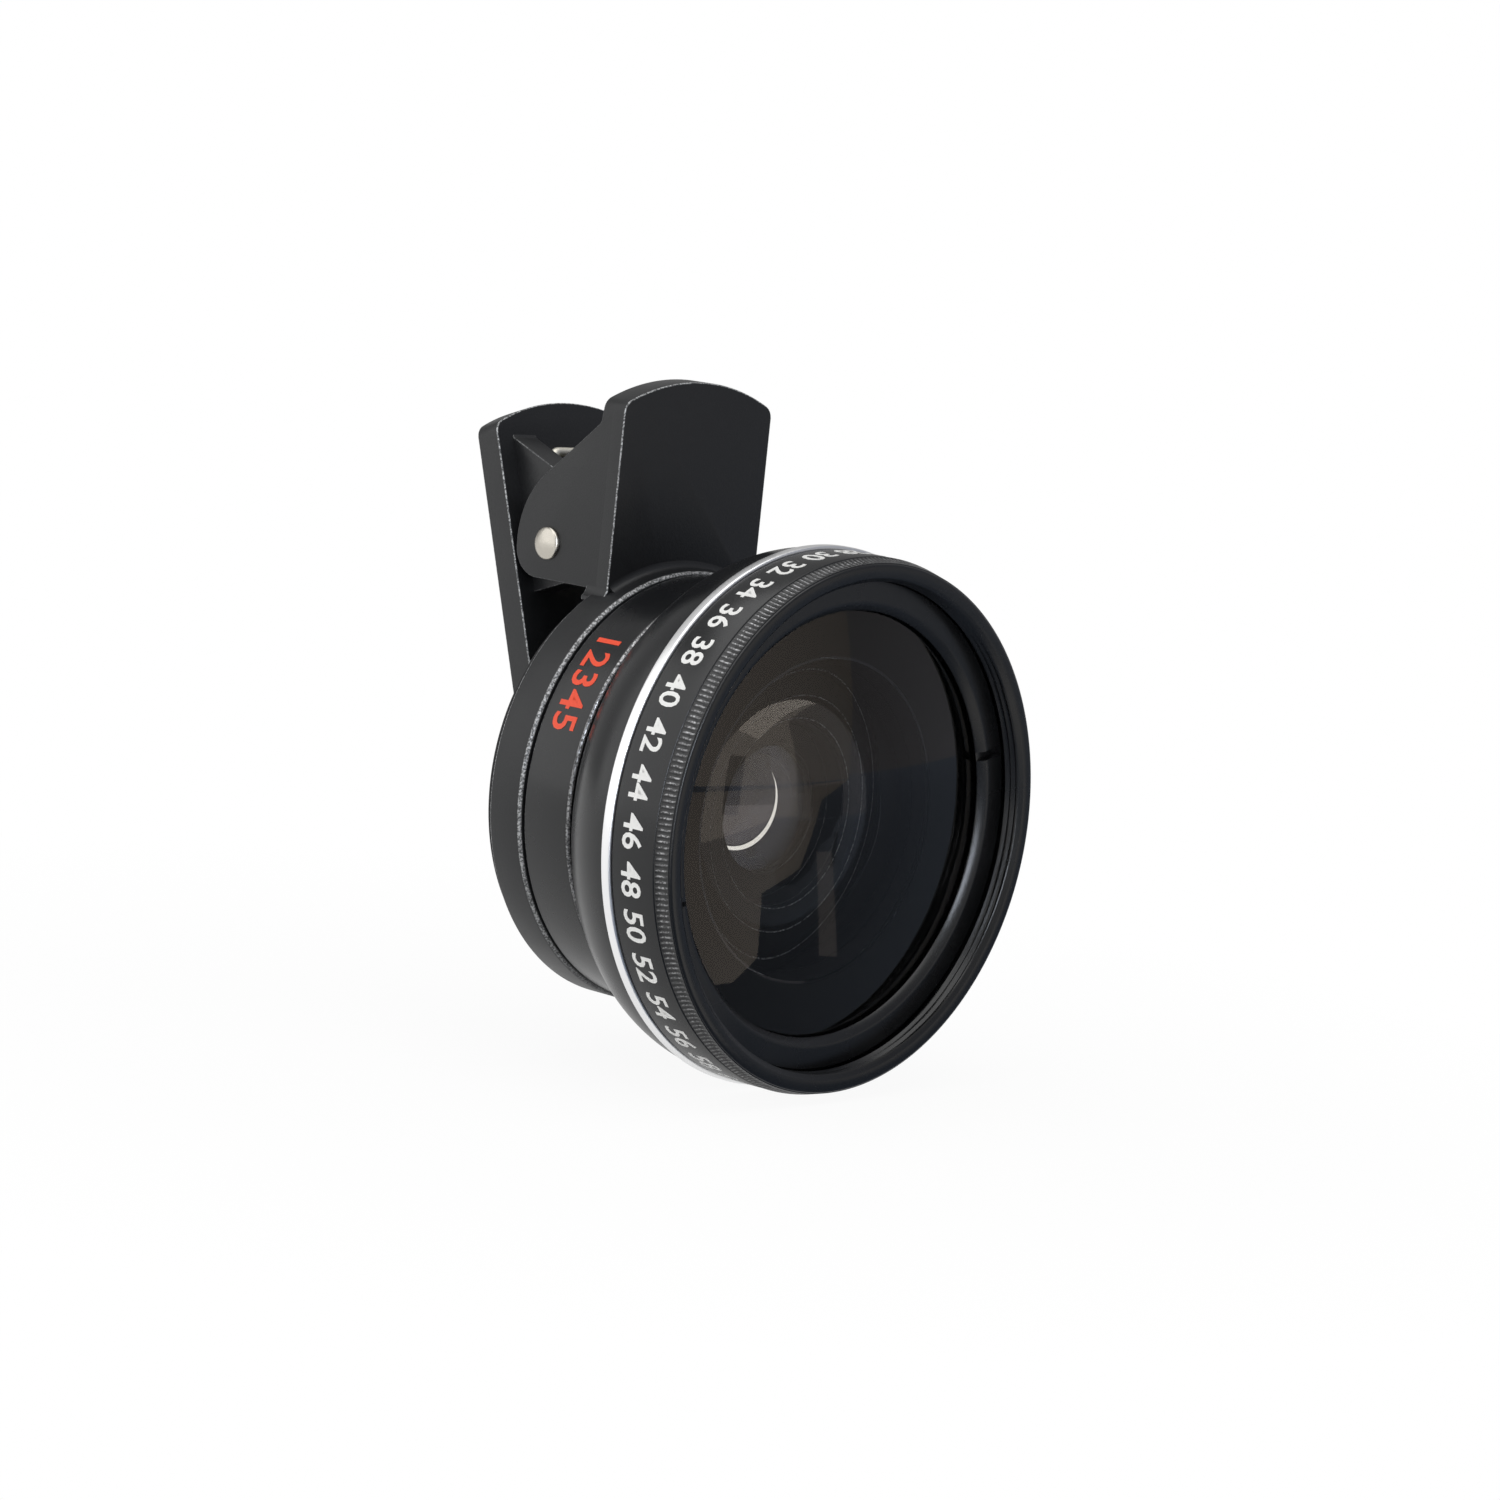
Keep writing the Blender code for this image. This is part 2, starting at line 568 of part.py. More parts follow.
def spring_path():
    """Centre line of the double torsion spring as points round the pin."""
    tilt = math.radians(BACK_TILT_DEG)
    behind = BACK_PLANE_OFFSET - WIRE_RADIUS - WIRE_PLATE_GAP
    bar = Vector((BAR_REACH * math.sin(tilt) + behind * math.cos(tilt),
                  BAR_REACH * math.cos(tilt) - behind * math.sin(tilt)))
    front = Vector((FRONT_LEVER_REAR - PIN_Y + WIRE_RADIUS + WIRE_PLATE_GAP, FRONT_LEG_REACH))
    leave = math.atan2(bar.y, bar.x) - math.acos(COIL_RADIUS / bar.length)
    enter = math.atan2(front.y, front.x) + math.acos(COIL_RADIUS / front.length)
    sweep = leave - enter + 2.0 * math.pi * (COIL_WHOLE_TURNS + 1)
    half = [Vector((COIL_INNER_X, front.x, front.y))]
    count = int(round(sweep / (2.0 * math.pi) * 12))
    for step in range(count + 1):
        a = enter + sweep * step / count
        x = COIL_INNER_X + COIL_PITCH * sweep * step / count / (2.0 * math.pi)
        half.append(Vector((x, COIL_RADIUS * math.cos(a), COIL_RADIUS * math.sin(a))))
    outer_x = half[-1].x
    corner = Vector((outer_x, bar.x, bar.y))
    rise = (half[-1] - corner).normalized()
    inward = Vector((-1.0, 0.0, 0.0))
    for step in range(5):
        a = math.pi / 2.0 * step / 4.0
        half.append(corner + rise * WIRE_BEND * (1.0 - math.sin(a)) + inward * WIRE_BEND * (1.0 - math.cos(a)))
    other = [Vector((-p.x, p.y, p.z)) for p in reversed(half)]
    return [Vector((p.x, p.y + PIN_Y, p.z + PIN_Z)) for p in half + other]


def make_spring(material, sides=6):
    """Sweep the wire along its centre line."""
    path = spring_path()
    bm = bmesh.new()
    tangent = (path[1] - path[0]).normalized()
    normal = tangent.orthogonal().normalized()
    rings = []
    for index, point in enumerate(path):
        before = path[max(index - 1, 0)]
        after = path[min(index + 1, len(path) - 1)]
        new_tangent = (after - before).normalized()
        normal = tangent.rotation_difference(new_tangent) @ normal
        normal = (normal - new_tangent * normal.dot(new_tangent)).normalized()
        tangent = new_tangent
        side = tangent.cross(normal)
        ring = []
        for k in range(sides):
            a = 2.0 * math.pi * k / sides
            offset = normal * math.cos(a) + side * math.sin(a)
            ring.append(bm.verts.new((point + offset * WIRE_RADIUS) * MM))
        rings.append(ring)
    for low, high in zip(rings, rings[1:]):
        for k in range(sides):
            n = (k + 1) % sides
            bm.faces.new((low[k], low[n], high[n], high[k]))
    bm.faces.new(list(reversed(rings[0])))
    bm.faces.new(rings[-1])
    bmesh.ops.recalc_face_normals(bm, faces=bm.faces)
    mesh = bpy.data.meshes.new("torsion_spring")
    bm.to_mesh(mesh)
    bm.free()
    mesh.shade_smooth()
    return link("torsion_spring", mesh, material)


def make_macro(metal, glass, ring_metal):
    """Macro ring: barrel with a socket in front and a male thread behind, its lens and keeper."""
    front = MACRO_FRONT
    socket = front + MACRO_SOCKET_DEPTH
    lip_rear = socket + MACRO_LIP
    tail = MACRO_REAR + MACRO_THREAD_LENGTH
    pocket = MACRO_LENS_RADIUS + REST_GAP
    turned("macro_barrel", [
        (THREAD_RADIUS, front), (MACRO_RADIUS - MACRO_EDGE, front),
        (MACRO_RADIUS - 0.3 * MACRO_EDGE, front + 0.3 * MACRO_EDGE), (MACRO_RADIUS, front + MACRO_EDGE),
        (MACRO_RADIUS, MACRO_REAR - 0.2), (MACRO_RADIUS - 0.2, MACRO_REAR),
        (MALE_RADIUS, MACRO_REAR), (MALE_RADIUS, tail), (pocket, tail), (pocket, lip_rear), (MACRO_LIP_RADIUS, lip_rear), (MACRO_LIP_RADIUS, socket),
        (THREAD_RADIUS, socket)], BIG_STEPS, metal)
    edge = lip_rear + REST_GAP
    rear = edge + MACRO_LENS_EDGE
    turned("macro_lens", disc(MACRO_LENS_RADIUS, edge, rear, MACRO_FRONT_SAG, MACRO_REAR_SAG),
           MID_STEPS, glass)
    keeper = rear + REST_GAP + 0.15
    turned("macro_keeper", [
        (MACRO_KEEPER_INNER, keeper), (MACRO_LENS_RADIUS, keeper),
        (MACRO_LENS_RADIUS, keeper + MACRO_KEEPER_LENGTH),
        (MACRO_KEEPER_INNER + 0.5, keeper + MACRO_KEEPER_LENGTH), (MACRO_KEEPER_INNER, keeper + 1.0)],
        MID_STEPS, ring_metal)


def head(station):
    """Y of a station measured rearward from the front rim."""
    return RIM_Y + station


def flare_profile(segments=5):
    """Convex flare behind the bright ring, from the band's radius down to its sharp rear edge."""
    start = Vector((BAND_RADIUS - 0.05, TRIM_FRONT + TRIM_LENGTH + 0.1))
    end = Vector((FLARE_END_RADIUS, FLARE_END))
    # An arc through both ends that starts parallel to the axis.
    run = end.y - start.y
    drop = start.x - end.x
    radius = (run * run + drop * drop) / (2.0 * drop)
    points = []
    for step in range(segments + 1):
        y = start.y + run * step / segments
        points.append((start.x - radius + math.sqrt(radius * radius - (y - start.y) ** 2), head(y)))
    return points


def make_wide_head(metal, bright, dark, glass, ring_metal):
    """Wide-angle head: barrel, bright ring, front lens and keeper, baffle and the rear lens group."""
    trim_rear = TRIM_FRONT + TRIM_LENGTH
    groove = TRIM_SEAT_RADIUS - REST_GAP
    screw_bore = MOUNT_SCREW_RADIUS + REST_GAP
    barrel = [
        (FILTER_RADIUS, head(FILTER_DEPTH)), (FILTER_RADIUS, head(0.25)), (FILTER_RADIUS + 0.25, head(0.0)),
        (RIM_RADIUS - 0.15, head(0.0)), (RIM_RADIUS + 0.1, head(0.2)), (KNURL_RADIUS, head(KNURL_LENGTH)),
        (BAND_RADIUS, head(KNURL_LENGTH + 0.15)), (BAND_RADIUS, head(TRIM_FRONT - 0.1)),
        (groove, head(TRIM_FRONT - 0.1)), (groove, head(trim_rear + 0.1))]
    barrel += flare_profile()
    barrel += [
        (screw_bore, head(FLARE_END)),
        (screw_bore, head(MOUNT_FRONT - REST_GAP)), (BAFFLE_RADIUS + REST_GAP, head(MOUNT_FRONT - REST_GAP)),
        (BAFFLE_RADIUS + REST_GAP, head(LENS_POCKET_DEPTH)),
        (FRONT_LENS_RADIUS + REST_GAP, head(LENS_POCKET_DEPTH)),
        (FRONT_LENS_RADIUS + REST_GAP, head(FILTER_DEPTH))]
    turned("wide_barrel", barrel, BIG_STEPS, metal)

    turned("bright_ring", [
        (TRIM_SEAT_RADIUS, head(TRIM_FRONT)), (TRIM_RADIUS - 0.2, head(TRIM_FRONT)),
        (TRIM_RADIUS, head(TRIM_FRONT + 0.2)), (TRIM_RADIUS, head(trim_rear - 0.2)),
        (TRIM_RADIUS - 0.2, head(trim_rear)), (TRIM_SEAT_RADIUS, head(trim_rear))], BIG_STEPS, bright)

    # Front lens: a meniscus with a deep hollow in its back and a flat ground rim round that.
    vertex = head(FRONT_LENS_VERTEX)
    back = head(LENS_POCKET_DEPTH - REST_GAP)
    hollow = back - sphere_sag(HOLLOW_CURVE, HOLLOW_RADIUS)
    profile = []
    for step in range(6):
        r = FRONT_LENS_RADIUS * step / 5
        profile.append((r, vertex + sphere_sag(FRONT_LENS_CURVE, r)))
    profile.append((FRONT_LENS_RADIUS, back))
    for step in range(5, -1, -1):
        r = HOLLOW_RADIUS * step / 5
        profile.append((r, hollow + sphere_sag(HOLLOW_CURVE, r)))
    turned("front_lens", profile, MID_STEPS + 4, glass)

    # Front keeper ring, with two slots for the spanner.
    outer = FILTER_RADIUS - REST_GAP
    front = head(KEEPER_FRONT)
    rear_inner = head(KEEPER_SEAT)
    rear_outer = head(FRONT_LENS_EDGE - REST_GAP)
    keeper = turned("front_keeper", [
        (KEEPER_INNER, front + KEEPER_BEVEL * 0.6), (KEEPER_INNER + KEEPER_BEVEL, front), (outer, front),
        (outer, rear_outer), (FRONT_LENS_RADIUS, rear_outer), (KEEPER_INNER, rear_inner)],
        BIG_STEPS, ring_metal)
    turn = math.radians(KEEPER_SLOT_DEG)
    for side in (1.0, -1.0):
        near = KEEPER_INNER - 1.0
        far = FILTER_RADIUS + 1.0
        half = KEEPER_SLOT_WIDTH / 2.0
        outline = [Vector((near, -half)), Vector((far, -half)), Vector((far, half)), Vector((near, half))]

        def place(u, v, w, s=side):
            return (s * (u * math.cos(turn) - v * math.sin(turn)), front - 1.0 + w,
                    s * (u * math.sin(turn) + v * math.cos(turn)))

        slot = prism("front_keeper_slot" + ("_a" if side > 0 else "_b"), outline, place,
                     1.0 + KEEPER_SLOT_DEPTH)
        boolean(keeper, slot, "DIFFERENCE")

    # Stepped baffle between the two lens groups.
    start = head(LENS_POCKET_DEPTH)
    end = head(MOUNT_FRONT - REST_GAP)
    length = end - start
    profile = [(BAFFLE_RADIUS, start), (BAFFLE_RADIUS, end)]
    for step in range(BAFFLE_STEPS - 1, -1, -1):
        r = BAFFLE_FRONT_BORE + (BAFFLE_REAR_BORE - BAFFLE_FRONT_BORE) * step / (BAFFLE_STEPS - 1)
        profile.append((r, start + length * (step + 1) / BAFFLE_STEPS))
        profile.append((r, start + length * step / BAFFLE_STEPS))
    turned("stepped_baffle", profile, MID_STEPS, dark)

    # Rear mount ring: screws into the barrel, shows as the neck and ends in the male thread. A relief
    # from the rear parts the threaded tube from the tube that carries the lenses.
    mount = head(MOUNT_FRONT)
    neck_front = head(FLARE_END + REST_GAP)
    neck_rear = MACRO_FRONT - REST_GAP
    tail = MACRO_FRONT + MACRO_SOCKET_DEPTH - REST_GAP - 0.1
    pocket = REAR_LENS_RADIUS + REST_GAP
    lip = mount + MOUNT_RECESS
    lip_rear = lip + REAR_LIP
    web = mount + MOUNT_WEB
    relief_outer = MALE_RADIUS - MACRO_THREAD_WALL
    relief_inner = pocket + CARRIER_WALL
    turned("rear_mount", [
        (BAFFLE_REAR_BORE, mount), (MOUNT_SCREW_RADIUS, mount), (MOUNT_SCREW_RADIUS, neck_front),
        (NECK_RADIUS, neck_front), (NECK_RADIUS, neck_rear), (MALE_RADIUS, neck_rear),
        (MALE_RADIUS, tail), (relief_outer, tail), (relief_outer, web), (relief_inner, web),
        (relief_inner, tail), (pocket, tail), (pocket, lip_rear), (REAR_LIP_RADIUS, lip_rear),
        (REAR_LIP_RADIUS, lip), (BAFFLE_REAR_BORE, lip)], MID_STEPS, metal)

    edge = lip_rear + REST_GAP
    rear = edge + REAR_FRONT_LENS_EDGE
    turned("rear_lens_front", disc(REAR_LENS_RADIUS, edge, rear, *REAR_FRONT_LENS_SAGS), INNER_STEPS, glass)
    spacer = rear + REST_GAP
    spacer_rear = spacer + REAR_SPACER_LENGTH
    spacer_bore = REAR_LENS_RADIUS - REAR_SPACER_WALL
    turned("rear_spacer", [
        (spacer_bore, spacer), (REAR_LENS_RADIUS, spacer), (REAR_LENS_RADIUS, spacer_rear),
        (spacer_bore, spacer_rear)], INNER_STEPS, dark)
    edge = spacer_rear + REST_GAP
    rear = edge + REAR_BACK_LENS_EDGE
    turned("rear_lens_back", disc(REAR_LENS_RADIUS, edge, rear, *REAR_BACK_LENS_SAGS), INNER_STEPS, glass)
    keeper = rear + REST_GAP + 0.1
    keeper_rear = keeper + REAR_KEEPER_LENGTH
    keeper_bore = REAR_LENS_RADIUS - REAR_KEEPER_WALL
    turned("rear_keeper", [
        (keeper_bore, keeper), (REAR_LENS_RADIUS, keeper), (REAR_LENS_RADIUS, keeper_rear),
        (keeper_bore + REAR_KEEPER_BEVEL, keeper_rear), (keeper_bore, keeper_rear - REAR_KEEPER_BEVEL)],
        INNER_STEPS, ring_metal)


def main():
    clear_scene()
    plastic = principled("clip_plastic", (0.020, 0.021, 0.023), 0.55)
    soft = principled("soft_pad", (0.030, 0.030, 0.032), 0.9)
    nickel = principled("nickel", (0.62, 0.59, 0.54), 0.25, 1.0)
    anodised = principled("black_anodised", (0.018, 0.018, 0.020), 0.38, 0.6)
    bright = principled("bright_aluminium", (0.80, 0.80, 0.81), 0.22, 1.0)
    matt = principled("matt_black", (0.012, 0.012, 0.013), 0.8)
    glass = principled("coated_glass", (0.93, 0.95, 0.96), 0.02, 0.0, 1.0)

    front_clip = make_front_clip(plastic)
    back_lever = make_back_lever(plastic)
    make_seat_pad(soft)
    make_jaw_pad(soft)
    make_pin(nickel)
    make_spring(nickel)
    make_macro(anodised, glass, anodised)
    make_wide_head(anodised, bright, matt, glass, anodised)

    # The pieces that swing together hang from an empty on the hinge axis.
    hinge = bpy.data.objects.new("hinge_axis", None)
    hinge.location = Vector((0.0, PIN_Y, PIN_Z)) * MM
    hinge.empty_display_size = 0.01
    bpy.context.scene.collection.objects.link(hinge)
    bpy.context.view_layer.update()
    for name in ("back_lever", "jaw_pad"):
        piece = bpy.data.objects[name]
        piece.parent = hinge
        piece.matrix_parent_inverse = hinge.matrix_world.inverted()
    for piece in (front_clip, back_lever):
        piece.data.set_sharp_from_angle(angle=math.radians(30.0))


if __name__ == "__main__":
    main()
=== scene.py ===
"""Looks of the clip-on phone lens: moulded clip, macro ring and wide-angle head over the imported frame.

All sizes are millimetres in the frame of the solids: the optical axis is Y with light entering from
-Y, the seat plane is y = 0, the levers stand along +Z and the hinge pin runs along X.
"""
import logging
import math
from dataclasses import dataclass
from enum import Enum
from typing import Callable, Optional, Sequence

import bmesh
import bpy
import numpy as np
from mathutils import Matrix, Vector


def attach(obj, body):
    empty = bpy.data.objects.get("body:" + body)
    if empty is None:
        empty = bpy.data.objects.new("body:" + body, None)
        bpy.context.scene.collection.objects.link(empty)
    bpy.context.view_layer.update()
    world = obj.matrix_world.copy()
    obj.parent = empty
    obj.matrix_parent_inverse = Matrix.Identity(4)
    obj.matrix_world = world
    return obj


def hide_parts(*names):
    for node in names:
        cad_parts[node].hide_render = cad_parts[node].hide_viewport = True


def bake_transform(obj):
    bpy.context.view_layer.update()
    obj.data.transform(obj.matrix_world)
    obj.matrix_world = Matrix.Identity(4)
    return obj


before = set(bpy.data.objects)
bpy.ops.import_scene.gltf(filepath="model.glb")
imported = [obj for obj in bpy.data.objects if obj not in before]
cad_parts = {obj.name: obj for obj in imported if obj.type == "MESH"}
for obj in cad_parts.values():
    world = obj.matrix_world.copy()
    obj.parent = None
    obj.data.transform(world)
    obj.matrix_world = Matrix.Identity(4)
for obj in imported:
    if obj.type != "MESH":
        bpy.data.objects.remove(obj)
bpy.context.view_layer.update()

MM = 0.001
TURN = 2.0 * math.pi
THREAD_PITCH = 0.75
# Where round the axis the painted edge highlight is strongest: the upper left, the side that the lamps light.
UPPER_LEFT = math.radians(148.0)
LOG = logging.getLogger("clip_lens")

Array = np.ndarray
# A function of three arrays: (u, v, w) of a slab, or the (angle, radius, y) grids of a turned piece.
Field = Callable[[Array, Array, Array], Array]


class Body(Enum):
    """The rigid bodies that pieces ride on."""

    CLIP = "clip"
    JAW = "jaw"
    MACRO = "macro"
    HEAD = "wide_head"


class Slot(Enum):
    """Material slots of the record."""

    PLASTIC = "clip_plastic"
    PAD = "soft_pad"
    NICKEL = "nickel"
    ANODISED = "anodised"
    BRIGHT = "bright_aluminium"
    MATT = "matt_black"
    GLASS = "glass"


# ---- geometry helpers -------------------------------------------------------------------------


def rounded(corners: Sequence[Sequence[float]], segments: int = 5) -> Array:
    """Closed outline whose corners are rounded, all corners worked out at once.

    Each corner's arc is centred on the bisector, at radius / sin(half the corner's angle).

    Args:
        corners: Rows of (u, v, radius).
        segments: Steps along each arc.

    Returns:
        Points (n, 2) in order, with coincident neighbours dropped.
    """
    c = np.asarray(corners, float)
    here = c[:, :2]
    before = np.roll(here, 1, axis=0) - here
    after = np.roll(here, -1, axis=0) - here
    before /= np.linalg.norm(before, axis=1, keepdims=True)
    after /= np.linalg.norm(after, axis=1, keepdims=True)
    half = np.arccos(np.clip((before * after).sum(1), -1.0, 1.0)) / 2.0
    radius = c[:, 2]
    bisector = before + after
    bisector /= np.maximum(np.linalg.norm(bisector, axis=1, keepdims=True), 1e-9)
    centre = here + bisector * (radius / np.maximum(np.sin(half), 1e-6))[:, None]
    reach = (radius / np.maximum(np.tan(half), 1e-6))[:, None]
    start = here + before * reach - centre
    end = here + after * reach - centre
    turn = np.arctan2(start[:, 0] * end[:, 1] - start[:, 1] * end[:, 0], (start * end).sum(1))
    a = turn[:, None] * np.linspace(0.0, 1.0, segments + 1)[None, :]
    u = centre[:, :1] + start[:, :1] * np.cos(a) - start[:, 1:] * np.sin(a)
    v = centre[:, 1:] + start[:, :1] * np.sin(a) + start[:, 1:] * np.cos(a)
    points = np.stack([u, v], 2).reshape(-1, 2)
    keep = np.linalg.norm(points - np.roll(points, 1, axis=0), axis=1) > 1e-5
    return points[keep]


def arc(centre: Sequence[float], radius: float, start_deg: float, end_deg: float, count: int) -> Array:
    """Points of a circular arc.

    Args:
        centre: Centre (u, v).
        radius: Radius.
        start_deg: First angle.
        end_deg: Last angle.
        count: Number of points.

    Returns:
        Points (count, 2).
    """
    a = np.radians(np.linspace(start_deg, end_deg, count))
    return np.stack([centre[0] + radius * np.cos(a), centre[1] + radius * np.sin(a)], 1)


def grid_faces(rows: int, columns: int, wrap_rows: bool, wrap_columns: bool) -> Array:
    """Quads of a grid of rows x columns points stored row by row.

    Args:
        rows: Number of rows.
        columns: Number of points in a row.
        wrap_rows: Join the last row to the first.
        wrap_columns: Join each row's ends.

    Returns:
        Vertex numbers (n, 4).
    """
    i = np.arange(rows if wrap_rows else rows - 1)[:, None]
    j = np.arange(columns if wrap_columns else columns - 1)[None, :]
    i2 = (i + 1) % rows
    j2 = (j + 1) % columns
    return np.stack([i * columns + j, i * columns + j2, i2 * columns + j2, i2 * columns + j], 2).reshape(-1, 4)


def capped_faces(rows: int, count: int) -> list[list[int]]:
    """Faces of a tube of rows rings of count points each, with a flat face at both ends."""
    faces = grid_faces(rows, count, False, True).tolist()
    return faces + [list(range(count - 1, -1, -1)), list(range((rows - 1) * count, rows * count))]


def cut_across(mesh: bpy.types.Mesh, axis: int, values: Sequence[float], merge: float = 0.0) -> Array:
    """Cut a mesh's faces with planes across an axis, so that they can follow a bend.

    Args:
        mesh: The mesh, changed in place.
        axis: 0 for x, 1 for y.
        values: Where the planes lie.
        merge: Distance below which its points are joined first.

    Returns:
        Its vertices (n, 3).
    """
    bm = bmesh.new()
    bm.from_mesh(mesh)
    if merge:
        bmesh.ops.remove_doubles(bm, verts=bm.verts, dist=merge)
    normal = Vector((axis == 0, axis == 1, 0))
    for value in values:
        everything = [*bm.verts, *bm.edges, *bm.faces]
        bmesh.ops.bisect_plane(bm, geom=everything, plane_co=normal * value, plane_no=normal)
    bm.to_mesh(mesh)
    bm.free()
    flat = np.empty(len(mesh.vertices) * 3)
    mesh.vertices.foreach_get("co", flat)
    return flat.reshape(-1, 3)


@dataclass
class Shell:
    """Vertices in millimetres, the faces over them and how strongly each vertex's edge takes a painted
    highlight.
    """

    verts: Array
    faces: list[list[int]]
    highlight_share: Optional[Array] = None

    def edge_highlight(self) -> Array:
        """Painted edge highlight of every vertex, 0 to 1, zero where none was given."""
        return np.zeros(len(self.verts)) if self.highlight_share is None else self.highlight_share

    def __add__(self, other: "Shell") -> "Shell":
        """Put two shells in one mesh, each closed by itself."""
        shift = len(self.verts)
        return Shell(np.vstack([self.verts, other.verts]),
                     self.faces + [[i + shift for i in face] for face in other.faces],
                     np.concatenate([self.edge_highlight(), other.edge_highlight()]))


def corner_highlight(profile: Array) -> Array:
    """Painted edge highlight along a closed profile: 1 on rounded convex corners, 0 on runs, hollows and bare
    corners.

    Args:
        profile: Rows of (radius, y), a loop.

    Returns:
        Painted highlight of each point, from the angle by which the loop turns outward there.
    """
    ahead = np.roll(profile, -1, axis=0) - profile
    behind = profile - np.roll(profile, 1, axis=0)
    cross = behind[:, 0] * ahead[:, 1] - behind[:, 1] * ahead[:, 0]
    turn = np.degrees(np.arctan2(cross, (behind * ahead).sum(1)))
    following = np.roll(profile, -1, axis=0)
    area = np.sum(profile[:, 0] * following[:, 1] - profile[:, 1] * following[:, 0])
    turn = turn * np.sign(area)
    # Degrees. A gentler turn than least is smooth, and from least + span on a step takes the full painted
    # highlight. A turn from lone on counts without highlighted neighbours, and one from bare on is a bare
    # corner.
    least, span, lone, bare = 11.5, 3.4, 40.0, 50.0
    highlight_share = np.where(turn < bare, np.clip((turn - least) / span, 0.0, 1.0), 0.0)
    neighbours = np.minimum(np.roll(highlight_share, 1), np.roll(highlight_share, -1))
    return np.where(turn < lone, np.minimum(highlight_share, neighbours), highlight_share)


def upper_left(a: Array, low: float, high: float) -> Array:
    """Share of the painted edge highlight round a ring: low, rising as a cosine to high at its upper left seen
    from the front, where the lamps light it.
    """
    return low + (high - low) * np.clip(np.cos(a - UPPER_LEFT), 0.0, 1.0)


def highlight_on_corners(profile: Array, low: float, high: float) -> Field:
    """Painted highlight on a turned piece's rounded corners, more on the lit upper left.

    Args:
        profile: Rows of (radius, y), a loop.
        low: Highlight on the far side.
        high: Highlight on the upper left.

    Returns:
        The painted highlight as a function of the piece's grids.
    """
    highlight_share = corner_highlight(profile)[None, :]
    return lambda a, r, y: upper_left(a, low, high) * highlight_share


def turned(profile: Array, angles: Array, swell: Optional[Field] = None, closed: bool = True,
           lift: Optional[Field] = None, highlight: Optional[Field] = None) -> Shell:
    """Surface of revolution about Y: (r cos a, y, r sin a) over a grid of angle and profile point.

    Args:
        profile: Rows of (radius, y).
        angles: Angles in radians round a full turn, without the repeated last one.
        swell: Adds to the radius as a function of (angle, radius, y) grids.
        closed: The profile is a loop; otherwise its ends lie on the axis.
        lift: Adds to y as a function of the same grids.
        highlight: Gives the painted edge highlight as a function of the same grids.

    Returns:
        The shell.
    """
    a, r = np.meshgrid(angles, profile[:, 0], indexing="ij")
    y = np.broadcast_to(profile[:, 1], a.shape)
    radius = r + (swell(a, r, y) if swell else 0.0)
    along = y + (lift(a, r, y) if lift else 0.0)
    verts = np.stack([radius * np.cos(a), along, radius * np.sin(a)], 2).reshape(-1, 3)
    faces = grid_faces(len(angles), len(profile), True, closed)
    highlight_share = np.broadcast_to(highlight(a, r, y), a.shape).reshape(-1) if highlight else None
    return Shell(verts, faces.tolist(), highlight_share)


def slab(outline: Array, depth: float, edge: float, place: Field, cuts: Sequence[float] = (),
         steps: int = 4, highlight: float = 1.0) -> Shell:
    """Plate with rounded edges: the outline carried through its depth, drawn in by edge (1 - sin t)
    where it is edge (1 - cos t) deep, and the same at the far face.

    Args:
        outline: Points (n, 2) in order.
        depth: Thickness.
        edge: Radius of the edges.
        place: Turns arrays (u, v, w) into points (n, 3).
        cuts: Values of v where the flat faces are cut, so that a bend can follow.
        steps: Steps over each rounded edge.
        highlight: Painted highlight at the middle of each rounded edge.

    Returns:
        The shell.
    """
    if np.sum(outline[:, 0] * np.roll(outline[:, 1], -1) - outline[:, 1] * np.roll(outline[:, 0], -1)) < 0:
        outline = outline[::-1]
    along = np.roll(outline, -1, axis=0) - outline
    along /= np.linalg.norm(along, axis=1, keepdims=True)
    normal = np.stack([-along[:, 1], along[:, 0]], 1)
    mean = normal + np.roll(normal, 1, axis=0)
    mean /= np.linalg.norm(mean, axis=1, keepdims=True)
    mean /= np.maximum((mean * normal).sum(1, keepdims=True), 0.5)
    t = np.linspace(0.0, math.pi / 2.0, steps + 1)
    inset = np.concatenate([edge * (1.0 - np.sin(t)), edge * (1.0 - np.sin(t[::-1]))])
    level = np.concatenate([edge * (1.0 - np.cos(t)), depth - edge * (1.0 - np.cos(t[::-1]))])
    uv = outline[None, :, :] + mean[None, :, :] * inset[:, None, None]
    w = np.repeat(level[:, None], len(outline), 1)
    highlight_share = highlight * np.repeat(np.concatenate([np.sin(2.0 * t), np.sin(2.0 * t[::-1])]), len(outline))
    points = np.dstack([uv, w]).reshape(-1, 3)
    faces = capped_faces(len(level), len(outline))
    if len(cuts):
        mesh = bpy.data.meshes.new("flat")
        mesh.from_pydata(points.tolist(), [], faces)
        mesh.attributes.new("highlight_share", "FLOAT", "POINT").data.foreach_set("value", highlight_share)
        points = cut_across(mesh, 1, cuts)
        highlight_share = np.empty(len(points))
        mesh.attributes["highlight_share"].data.foreach_get("value", highlight_share)
        faces = [list(face.vertices) for face in mesh.polygons]
        bpy.data.meshes.remove(mesh)
    return Shell(place(*points.T), faces, highlight_share)


